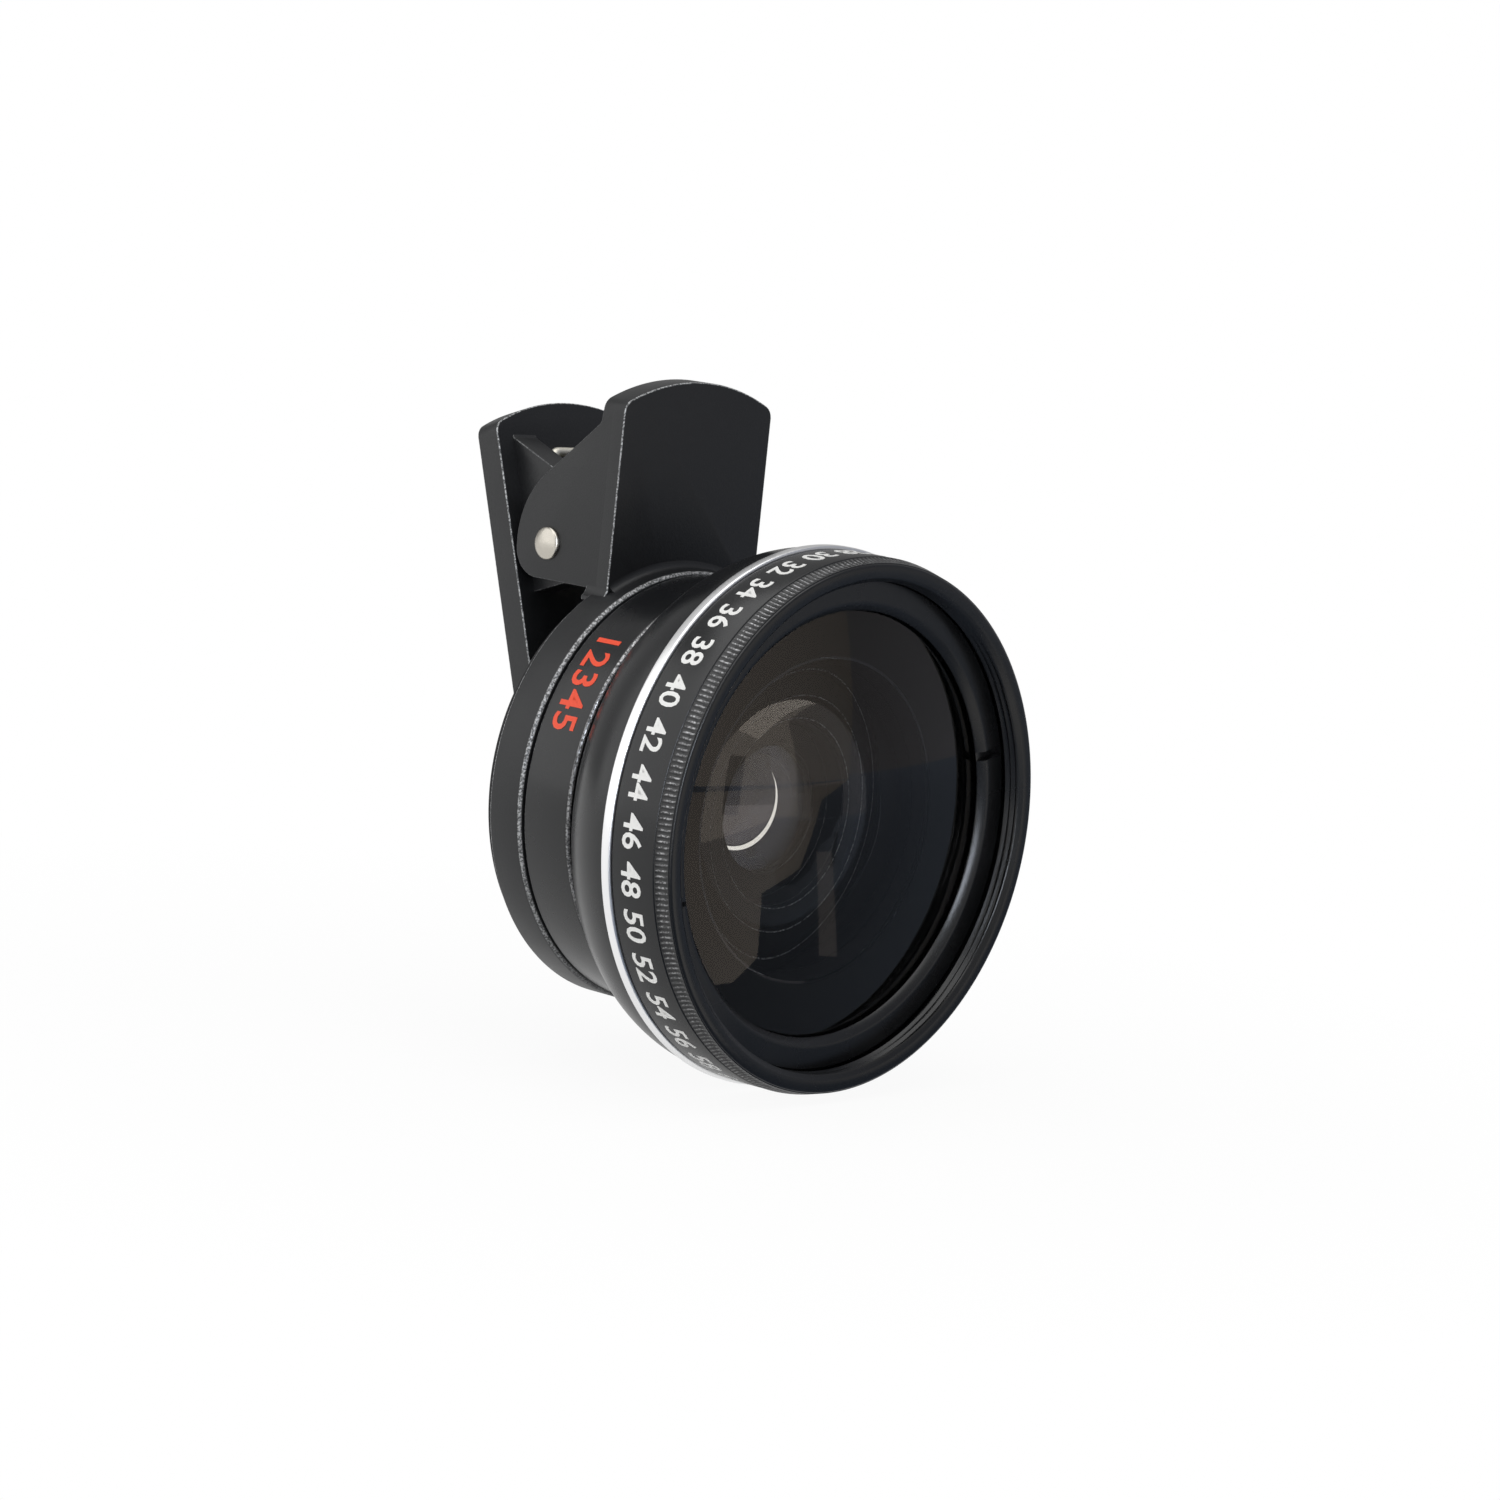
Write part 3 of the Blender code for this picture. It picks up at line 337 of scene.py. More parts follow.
def tube(path: Array, radius: float, away: Array, sides: int = 16) -> Shell:
    """Round wire along a path: each ring lies in the plane of (tangent x away) and its normal.

    Args:
        path: Points (n, 3).
        radius: Wire radius.
        away: A direction that the path never follows.
        sides: Points in a ring.

    Returns:
        The shell, closed by a flat end at each side.
    """
    tangent = np.gradient(path, axis=0)
    tangent /= np.linalg.norm(tangent, axis=1, keepdims=True)
    first = np.cross(tangent, away)
    first /= np.linalg.norm(first, axis=1, keepdims=True)
    second = np.cross(tangent, first)
    a = full_turn(sides)
    ring = first[:, None, :] * np.cos(a)[None, :, None] + second[:, None, :] * np.sin(a)[None, :, None]
    return Shell((path[:, None, :] + radius * ring).reshape(-1, 3), capped_faces(len(path), sides))


def full_turn(count: int) -> Array:
    """Evenly spaced angles of a full turn."""
    return np.linspace(0.0, TURN, count, endpoint=False)


def vee(a: Array, y: Array) -> Array:
    """V of a helical thread: |y in pitches less a turn's share - 1/2|, from 0 to 1/2 and back each pitch."""
    return np.abs((y / THREAD_PITCH - a / TURN) % 1.0 - 0.5)


def make_piece(name: str, shell: Shell, material: bpy.types.Material, body: Optional[Body], slot: Slot,
               replaces: Sequence[str] = (), sharp_deg: float = 35.0) -> bpy.types.Object:
    """Write a shell into a mesh object and set it on its body.

    Args:
        name: Piece name.
        shell: Its geometry in millimetres.
        material: Its finish.
        body: The body that it rides on, or None for a piece that rides on no body.
        slot: The record's slot for it; not used.
        replaces: Solids that it stands for.
        sharp_deg: Edges above this angle stay crisp.

    Returns:
        The new object.
    """
    mesh = bpy.data.meshes.new(name)
    mesh.from_pydata((shell.verts * MM).tolist(), [], shell.faces)
    mesh.attributes.new("highlight_share", "FLOAT", "POINT").data.foreach_set("value", shell.edge_highlight())
    bm = bmesh.new()
    bm.from_mesh(mesh)
    bmesh.ops.remove_doubles(bm, verts=bm.verts, dist=1e-7)
    bmesh.ops.recalc_face_normals(bm, faces=bm.faces)
    bm.to_mesh(mesh)
    bm.free()
    mesh.shade_smooth()
    mesh.set_sharp_from_angle(angle=math.radians(sharp_deg))
    mesh.materials.append(material)
    obj = bpy.data.objects.new(name, mesh)
    bpy.context.scene.collection.objects.link(obj)
    if body is not None:
        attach(obj, body.value)
    if replaces:
        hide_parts(*replaces)
    LOG.info("%s: %d faces on %s", name, len(mesh.polygons), body.value if body else "two bodies")
    return obj


# ---- finishes -----------------------------------------------------------------------------------


def linear(hex_colour: str) -> tuple[float, float, float, float]:
    """Turn an sRGB colour to a linear one.

    Args:
        hex_colour: "#rrggbb".

    Returns:
        Linear red, green, blue and an alpha of 1.
    """
    value = np.array([int(hex_colour[i:i + 2], 16) for i in (1, 3, 5)]) / 255.0
    out = np.where(value <= 0.04045, value / 12.92, ((value + 0.055) / 1.055) ** 2.4)
    return (*(float(x) for x in out), 1.0)


def add(tree: bpy.types.NodeTree, kind: str, links: Optional[dict] = None, values: Optional[dict] = None,
        **properties) -> bpy.types.Node:
    """Add a node, set its properties and inputs, and link its inputs.

    Args:
        tree: Node tree.
        kind: Node type name.
        links: Input name or number to the output socket that feeds it.
        values: Input name or number to the value set on it.
        properties: The node's own properties.

    Returns:
        The node.
    """
    node = tree.nodes.new(kind)
    for key, value in properties.items():
        setattr(node, key, value)
    for key, value in (values or {}).items():
        node.inputs[key].default_value = value
    for key, socket in (links or {}).items():
        tree.links.new(socket, node.inputs[key])
    return node


def new_material(name: str, values: dict) -> tuple[bpy.types.Material, bpy.types.Node]:
    """Start a material.

    Args:
        name: Its name.
        values: Input name to the value set on its Principled shader.

    Returns:
        The material and its Principled shader.
    """
    mat = bpy.data.materials.new(name)
    mat.use_nodes = True
    shader = mat.node_tree.nodes["Principled BSDF"]
    for key, value in values.items():
        shader.inputs[key].default_value = value
    return mat, shader


@dataclass(frozen=True)
class Finish:
    """A surface finish: base colour and how its surface was made."""

    name: str
    colour: str
    second: str
    roughness: float
    roughness_spread: float
    metallic: float = 0.0
    specular: float = 0.5
    # Real grain and the real specks in a grained edge's highlight are nearer 0.05 mm, too fine for a render of
    # 0.1 mm a pixel, so both are drawn as coarse as they need to be to show; the specks break up the painted
    # edge highlight.
    grain_mm: float = 0.25
    grain_height_mm: float = 0.006
    mottle_mm: float = 6.0
    # The painted highlight on rounded edges: its pale colour, its metalness and roughness, and the size of its
    # specks.
    edge_highlight: str = "#c0c2c4"
    highlight_metallic: float = 0.0
    highlight_roughness: float = 0.22
    speck_mm: float = 0.20

    def build(self) -> bpy.types.Material:
        """Make the material: a slow mottle in colour and roughness, a fine grain as bump, and on rounded
        edges a painted highlight, a smoother, paler tone that a fine noise breaks into specks.

        Returns:
            The material.
        """
        mat, shader = new_material(self.name, {"Specular IOR Level": self.specular, "Metallic": self.metallic})
        tree = mat.node_tree
        place = add(tree, "ShaderNodeTexCoord").outputs["Object"]
        slow = add(tree, "ShaderNodeTexNoise", {"Vector": place},
                   {"Scale": 1.0 / (self.mottle_mm * MM), "Detail": 3.0, "Roughness": 0.55}).outputs["Fac"]
        mottle = add(tree, "ShaderNodeMix", {"Factor": slow}, {6: linear(self.colour), 7: linear(self.second)},
                     data_type="RGBA").outputs[2]
        spread = add(tree, "ShaderNodeMapRange", {"Value": slow}, {
            "From Min": 0.3, "From Max": 0.7, "To Min": self.roughness - self.roughness_spread,
            "To Max": self.roughness + self.roughness_spread}).outputs["Result"]
        # Painted highlight: the vertices' share of it, broken into specks, mixes in a paler and smoother tone.
        highlight_share = add(tree, "ShaderNodeAttribute", attribute_name="highlight_share").outputs["Fac"]
        specks = add(tree, "ShaderNodeTexNoise", {"Vector": place},
                     {"Scale": 1.0 / (self.speck_mm * MM), "Detail": 2.0}).outputs["Fac"]
        gate = add(tree, "ShaderNodeMapRange", {"Value": specks},
                   {"From Min": 0.42, "From Max": 0.62, "To Min": 0.12}).outputs["Result"]
        edge_highlight = add(tree, "ShaderNodeMath", {0: highlight_share, 1: gate}, operation="MULTIPLY").outputs[0]
        base = add(tree, "ShaderNodeMix", {"Factor": edge_highlight, 6: mottle}, {7: linear(self.edge_highlight)},
                   data_type="RGBA").outputs[2]
        smooth = add(tree, "ShaderNodeMix", {"Factor": edge_highlight, 2: spread},
                     {3: self.highlight_roughness}).outputs[0]
        grain = add(tree, "ShaderNodeTexNoise", {"Vector": place},
                    {"Scale": 1.0 / (self.grain_mm * MM), "Detail": 2.0, "Roughness": 0.6}).outputs["Fac"]
        bump = add(tree, "ShaderNodeBump", {"Height": grain},
                   {"Strength": 1.0, "Distance": self.grain_height_mm * MM}).outputs["Normal"]
        feeds = {"Base Color": base, "Roughness": smooth, "Normal": bump}
        if self.highlight_metallic > self.metallic:
            feeds["Metallic"] = add(tree, "ShaderNodeMix", {"Factor": edge_highlight},
                                    {2: self.metallic, 3: self.highlight_metallic}).outputs[0]
        for name, socket in feeds.items():
            tree.links.new(socket, shader.inputs[name])
        return mat


@dataclass(frozen=True)
class TurnedFinish(Finish):
    """A lathe-turned metal: fine rings that run round the optical axis."""

    # Real turning lines are nearer 0.03 mm; they are drawn about a pixel wide, or they would not show.
    line_mm: float = 0.12
    line_height_mm: float = 0.002

    def build(self) -> bpy.types.Material:
        """Make the material: rings from noise over (distance from the axis, y), no change round it.

        Returns:
            The material.
        """
        mat = super().build()
        tree = mat.node_tree
        normal = tree.nodes["Principled BSDF"].inputs["Normal"]
        place = add(tree, "ShaderNodeTexCoord").outputs["Object"]
        parts = add(tree, "ShaderNodeSeparateXYZ", {"Vector": place}).outputs
        flat = add(tree, "ShaderNodeCombineXYZ", {"X": parts["X"], "Z": parts["Z"]}).outputs["Vector"]
        radius = add(tree, "ShaderNodeVectorMath", {0: flat}, operation="LENGTH").outputs["Value"]
        rings = add(tree, "ShaderNodeCombineXYZ", {"X": radius, "Y": parts["Y"]}).outputs["Vector"]
        lines = add(tree, "ShaderNodeTexNoise", {"Vector": rings},
                    {"Scale": 1.0 / (self.line_mm * MM), "Detail": 1.0}).outputs["Fac"]
        bump = add(tree, "ShaderNodeBump", {"Height": lines, "Normal": normal.links[0].from_socket},
                   {"Strength": 1.0, "Distance": self.line_height_mm * MM})
        tree.links.new(bump.outputs["Normal"], normal)
        return mat


@dataclass(frozen=True)
class LensGlass:
    """Polished optical glass with a thin anti-reflection coating."""

    name: str
    tint: str
    reflex: str
    ior: float = 1.52
    haze: float = 0.0
    specular: float = 0.5

    def build(self) -> bpy.types.Material:
        """Make the material: clear transmission, a tinted reflex from the coating, and a haze of fine
        dust that is the share of light it scatters.

        Returns:
            The material.
        """
        return new_material(self.name, {
            "Base Color": linear(self.tint), "Transmission Weight": 1.0 - self.haze, "IOR": self.ior,
            "Specular IOR Level": self.specular, "Specular Tint": linear(self.reflex), "Roughness": 0.0})[0]


class Finishes:
    """Every finish of the object, built once."""

    def __init__(self) -> None:
        """Build the materials."""
        # ABS moulded against a fine spark-eroded tool: satin black, with soft highlights painted on the edges.
        self.abs = Finish("moulded_abs", "#141517", "#191a1c", 0.40, 0.05, specular=0.45, grain_mm=0.20,
                          grain_height_mm=0.014, edge_highlight="#dcdee0").build()
        # Black anodised aluminium: denser and smoother than the plastic, with faint turning rings and a pale
        # metallic highlight painted on its edges.
        self.anodised = TurnedFinish("black_anodised_aluminium", "#101113", "#141517", 0.27, 0.04,
                                     specular=0.5, grain_mm=0.10, grain_height_mm=0.004, mottle_mm=9.0,
                                     line_mm=0.10, line_height_mm=0.002, edge_highlight="#e2e2e4",
                                     highlight_metallic=1.0).build()
        # Bare aluminium cut bright on the lathe.
        self.bright = TurnedFinish("bright_cut_aluminium", "#fbfbfb", "#f2f2f3", 0.34, 0.04, metallic=1.0,
                                   grain_mm=0.3, grain_height_mm=0.001, line_mm=0.08,
                                   line_height_mm=0.002).build()
        # Nickel-plated steel: the pin is planished on its dome, the wire is duller from drawing.
        self.nickel = Finish("nickel_plated_steel", "#cbc6bc", "#b9b4aa", 0.28, 0.05, metallic=1.0,
                             grain_mm=0.7, grain_height_mm=0.02, mottle_mm=1.2).build()
        self.wire = Finish("plated_spring_wire", "#efebdf", "#dedacd", 0.5, 0.05, metallic=1.0,
                           grain_mm=0.3, grain_height_mm=0.004, mottle_mm=2.0).build()
        # Silicone rubber pads: matt, slightly dusty, with the pale highlight painted on the jaw pad's edges.
        self.rubber = Finish("silicone_rubber", "#1c1c1d", "#262627", 0.78, 0.06, specular=0.4, grain_mm=0.4,
                             grain_height_mm=0.02).build()
        # Matt black paint inside the barrel kills stray light.
        self.matt = TurnedFinish("matt_black_paint", "#08090a", "#0c0d0f", 0.55, 0.05, specular=0.2,
                                 grain_mm=0.15, grain_height_mm=0.0008, line_mm=0.4,
                                 line_height_mm=0.001).build()
        self.front_glass = LensGlass("coated_front_glass", "#f2f2f0", "#e9dccf").build()
        self.rear_glass = LensGlass("coated_rear_glass", "#f4f2f0", "#d6d3e6", haze=0.03, specular=0.2).build()
        # Pad-printed ink: opaque, slightly raised and satin.
        self.white_ink = Finish("white_ink", "#f2f2f0", "#e8e8e6", 0.5, 0.05, grain_height_mm=0.002).build()
        self.red_ink = Finish("red_orange_ink", "#f0502e", "#e6492a", 0.5, 0.05, grain_height_mm=0.002).build()


def wrapped_text(words: Sequence[str], degrees: Sequence[float], size: float, base_y: float,
                 radius: float) -> Shell:
    """Flat raised text wrapped round a cylinder: (R cos a, base - v, R sin a), a = angle + u / R.

    It reads with rising angle and the heads of the figures point to the front.

    Args:
        words: The texts.
        degrees: Angle of each text's middle.
        size: Type size.
        base_y: Y of the base line.
        radius: Radius that the middle of the ink's thickness lies on.

    Returns:
        The shell of all texts.
    """
    total = None
    for word, middle in zip(words, degrees):
        curve = bpy.data.curves.new("figure", "FONT")
        curve.body = word
        curve.size = size
        curve.align_x = "CENTER"
        curve.resolution_u = 3
        curve.offset = 0.014 * size
        curve.extrude = 0.02
        text = bpy.data.objects.new("figure", curve)
        bpy.context.scene.collection.objects.link(text)
        bpy.context.view_layer.update()
        mesh = bpy.data.meshes.new_from_object(text.evaluated_get(bpy.context.evaluated_depsgraph_get()))
        u, v, ink = cut_across(mesh, 0, np.arange(-3.0, 3.01, 0.5), 1e-4).T
        a = math.radians(middle) + u / radius
        verts = np.stack([(radius + ink) * np.cos(a), base_y - v, (radius + ink) * np.sin(a)], 1)
        shell = Shell(verts, [list(face.vertices) for face in mesh.polygons])
        total = shell if total is None else total + shell
        bpy.data.objects.remove(text, do_unlink=True)
        bpy.data.curves.remove(curve)
        bpy.data.meshes.remove(mesh)
    return total


# ---- the clip -----------------------------------------------------------------------------------


@dataclass
class Hinge:
    """Where the pin lies and how the ears are drawn round it."""

    pin_y: float = 5.65
    pin_z: float = 23.2
    pin_radius: float = 1.2
    head_radius: float = 1.65
    head_height: float = 0.7
    front_outer: float = 10.602
    front_inner: float = 8.8
    back_outer: float = 8.5
    back_inner: float = 5.2
    nose: float = 4.5
    heel_radius: float = 3.1
    shoulder_share: float = 0.87
    diagonal_deg: float = 40.0
    below_pin: float = 3.64

    def ear_outline(self, plate: float, below: float, top: float, root: float) -> Array:
        """Side view of an ear: u away from its plate with 0 at the pin, v along the plate.

        Args:
            plate: Distance from the pin to the plate's face.
            below: Depth of the ear below the pin.
            top: Height above the pin where the diagonal leaves the plate.
            root: Radius where it does so.

        Returns:
            Outline points.
        """
        diagonal = math.radians(self.diagonal_deg)
        slope = math.tan(diagonal)
        shoulder_v = top - (plate + self.nose) * slope
        room = shoulder_v + below - self.heel_radius
        shoulder = self.shoulder_share * room / math.tan((math.pi / 2.0 - diagonal) / 2.0)
        return rounded([
            (-plate - 1.5, -below, 0.0), (self.nose, -below, self.heel_radius),
            (self.nose, shoulder_v, shoulder),
            (-plate + 0.15, top - 0.15 * slope, root), (-plate, top + 1.2 * root, 0.0),
            (-plate - 1.5, top + 1.2 * root, 0.0)], 10)


@dataclass
class Lever:
    """Sizes that both levers share."""

    half_width: float = 10.6
    thickness: float = 3.0
    top_radius: float = 23.8
    corner: float = 1.4
    edge: float = 0.15

    def top_outline(self, top: float) -> Array:
        """Arched top with rounded corners, from the right side over to the left.

        Args:
            top: Height of the apex.

        Returns:
            Points in order.
        """
        centre = top - self.top_radius
        inner = self.top_radius - self.corner
        corner_u = self.half_width - self.corner
        corner_v = centre + math.sqrt(inner * inner - corner_u * corner_u)
        join = math.degrees(math.acos(corner_u / inner))
        return np.vstack([
            arc((corner_u, corner_v), self.corner, 0.0, join, 8),
            arc((0.0, centre), self.top_radius, join, 180.0 - join, 40)[1:-1],
            arc((-corner_u, corner_v), self.corner, 180.0 - join, 180.0, 8)])


@dataclass
class FrontMoulding:
    """The moulding in front: threaded ring, upright lever and outer ears."""

    hinge: Hinge
    lever: Lever
    ring_rear: float = -1.2
    ring_front: float = -5.45
    ring_radius: float = 21.95
    bore: float = 18.5
    edge: float = 0.5
    plate_rear: float = -0.25
    top: float = 40.65
    foot_fillet: float = 1.2
    ear_top: float = 12.9
    ear_root: float = 1.0

    def ring(self) -> Shell:
        """Turned ring with rounded front edge and a helical thread in its bore."""
        low, high = self.ring_front + 0.65, self.ring_rear - 0.3
        # The outline starts and ends on the bore, and the rows of the thread close it.
        loop = np.vstack([rounded([
            (self.bore, self.ring_rear, 0.25), (self.ring_radius, self.ring_rear, 0.3),
            (self.ring_radius, self.ring_front, self.edge), (self.bore, self.ring_front, 0.45)], 6),
            thread_rows(self.bore, low + 0.05, high - 0.05)])

        def swell(a: Array, r: Array, y: Array) -> Array:
            """Depth of the thread, from 0.3 mm outward in its roots to nothing on its crests."""
            return np.where((np.abs(r - self.bore) < 1e-6) & (y > low) & (y < high), 0.3 - 0.6 * vee(a, y), 0.0)

        # The ring's rounded corners take a painted highlight, most on the upper left.
        return turned(loop, full_turn(240), swell, highlight=highlight_on_corners(loop, 0.25, 1.0))

    def plate(self) -> Shell:
        """Upright plate whose foot runs into the ring with a small fillet at each side."""
        reach = self.ring_radius - 0.05 + self.foot_fillet
        u = self.lever.half_width + self.foot_fillet
        v = math.sqrt(reach * reach - u * u)
        end = math.degrees(math.atan2(v, u)) - 180.0
        right = arc((u, v), self.foot_fillet, end, -180.0, 8)
        left = right[::-1] * np.array([-1.0, 1.0])
        root = self.ring_radius - 0.4
        side = math.degrees(math.acos(right[0, 0] / root))
        foot = arc((0.0, 0.0), root, 180.0 - side, side, 24)
        outline = np.vstack([foot, right, self.lever.top_outline(self.top), left])
        return slab(outline, self.lever.thickness, self.lever.edge,
                    lambda a, b, w: np.stack([a, self.plate_rear - w, b], 1))

    def ear(self, side: float) -> Shell:
        """One outer ear.

        Args:
            side: -1 or 1.

        Returns:
            Its shell.
        """
        h = self.hinge
        outline = h.ear_outline(h.pin_y - self.plate_rear, h.below_pin, self.ear_top, self.ear_root)
        width = h.front_outer - h.front_inner
        # The ear's rounded edges take a faint painted highlight.
        return slab(outline, width, 0.12, lambda u, v, w: np.stack(
            [side * (h.front_inner + w), h.pin_y + u, h.pin_z + v], 1), highlight=0.15)

    def root_fillet(self) -> Shell:
        """Concave fillet where the plate's front meets the ring's outside, over the plate's width."""
        size = 0.8
        face = self.plate_rear - self.lever.thickness
        curve = arc((self.ring_radius + size, face - size), size, 180.0, 90.0, 9)
        profile = np.vstack([curve, [
            [self.ring_radius + size, face + 0.3], [self.ring_radius - 0.3, face + 0.3],
            [self.ring_radius - 0.3, face - size]]])
        half = math.asin((self.lever.half_width - 0.35) / (self.ring_radius + 0.4))
        angles = np.linspace(math.pi / 2.0 - half, math.pi / 2.0 + half, 40)
        # The sweep stops at the plate's sides, so its ends are capped and not joined.
        return Shell(turned(profile, angles).verts, capped_faces(len(angles), len(profile)))

    def build(self, finishes: Finishes) -> None:
        """Make the moulding."""
        shell = self.ring() + self.plate() + self.ear(-1.0) + self.ear(1.0) + self.root_fillet()
        make_piece("clip_moulding", shell, finishes.abs, Body.CLIP, Slot.PLASTIC, ["front_clip"])


@dataclass
class BackMoulding:
    """The lever behind: leaning plate, bent jaw and inner ears."""

    hinge: Hinge
    lever: Lever
    tilt_deg: float = 19.2
    jaw_deg: float = 7.0
    offset: float = 4.95
    reach: float = 15.84
    thickness: float = 2.92
    bend_z: float = 4.0
    bend_radius: float = 11.0
    jaw_bottom: float = -20.0
    pad_gap: float = 0.1
    pad_thickness: float = 1.0
    ear_drop: float = 3.8
    ear_root: float = 0.2

    def __post_init__(self) -> None:
        """Work out the inner face's path: its lean goes from the jaw's to the plate's over the bend."""
        tilt = math.radians(self.tilt_deg)
        jaw = math.radians(self.jaw_deg)
        self.bend_s = (self.bend_z - self.hinge.pin_z + self.offset * math.sin(tilt)) / math.cos(tilt)
        half = self.bend_radius * (tilt - jaw) / 2.0
        self.path_s = np.linspace(-50.0, 20.0, 7001)
        self.path_lean = np.interp(self.path_s, [self.bend_s - half, self.bend_s + half], [jaw, tilt])
        step = self.path_s[1] - self.path_s[0]
        y = np.cumsum(np.sin(self.path_lean)) * step
        z = np.cumsum(np.cos(self.path_lean)) * step
        y0 = self.hinge.pin_y + self.offset * math.cos(tilt)
        z0 = self.hinge.pin_z - self.offset * math.sin(tilt)
        self.path_y = y - np.interp(0.0, self.path_s, y) + y0
        self.path_z = z - np.interp(0.0, self.path_s, z) + z0
        self.bottom_s = float(np.interp(self.jaw_bottom, self.path_z, self.path_s))

    def on_face(self, u: Array, s: Array, w: Array) -> Array:
        """Point beside the inner face: s along its path, w behind it."""
        lean = np.interp(s, self.path_s, self.path_lean)
        y = np.interp(s, self.path_s, self.path_y) + w * np.cos(lean)
        z = np.interp(s, self.path_s, self.path_z) - w * np.sin(lean)
        return np.stack([u, y, z], 1)

    def plate(self) -> Shell:
        """Plate and jaw in one, with a round end at the bottom."""
        half = self.lever.half_width
        foot = arc((0.0, self.bottom_s + half), half, 180.0, 360.0, 48)
        outline = np.vstack([foot, self.lever.top_outline(self.reach)])
        # The bend takes 1.2 mm either way, and the cuts go a little past it.
        cuts = self.bend_s + np.linspace(-1.4, 1.4, 8)
        return slab(outline, self.thickness, self.lever.edge, self.on_face, cuts)

    def ear(self, side: float) -> Shell:
        """One inner ear, reaching forward from the leaning plate.

        Args:
            side: -1 or 1.

        Returns:
            Its shell.
        """
        h = self.hinge
        outline = h.ear_outline(self.offset, h.below_pin + 0.3, self.reach - self.ear_drop, self.ear_root)
        width = h.back_outer - h.back_inner
        tilt = math.radians(self.tilt_deg)

        def place(u: Array, v: Array, w: Array) -> Array:
            """u forward of the pin square to the plate, v up along the plate."""
            y = h.pin_y + v * math.sin(tilt) - u * math.cos(tilt)
            z = h.pin_z + v * math.cos(tilt) + u * math.sin(tilt)
            return np.stack([side * (h.back_inner + w), y, z], 1)

        # The ear's rounded edges take a faint painted highlight.
        return slab(outline, width, 0.12, place, highlight=0.3)

    def pad(self) -> Shell:
        """Soft pad on the jaw."""
        half = self.lever.half_width - 1.2
        low = float(np.interp(self.jaw_bottom + 1.0, self.path_z, self.path_s))
        high = float(np.interp(2.0, self.path_z, self.path_s))
        outline = np.vstack([arc((0.0, low + half), half, 180.0, 360.0, 40),
                             arc((half - 3.0, high - 3.0), 3.0, 0.0, 90.0, 10),
                             arc((3.0 - half, high - 3.0), 3.0, 90.0, 180.0, 10)])
        thick = self.pad_thickness
        gap = self.pad_gap
        return slab(outline, thick, 0.3, lambda u, s, w: self.on_face(u, s, w - gap - thick))

    def build(self, finishes: Finishes) -> None:
        """Make the moulding and its pad."""
        shell = self.plate() + self.ear(-1.0) + self.ear(1.0)
        make_piece("jaw_moulding", shell, finishes.abs, Body.JAW, Slot.PLASTIC, ["back_lever"])
        make_piece("jaw_cushion", self.pad(), finishes.rubber, Body.JAW, Slot.PAD, ["jaw_pad"])


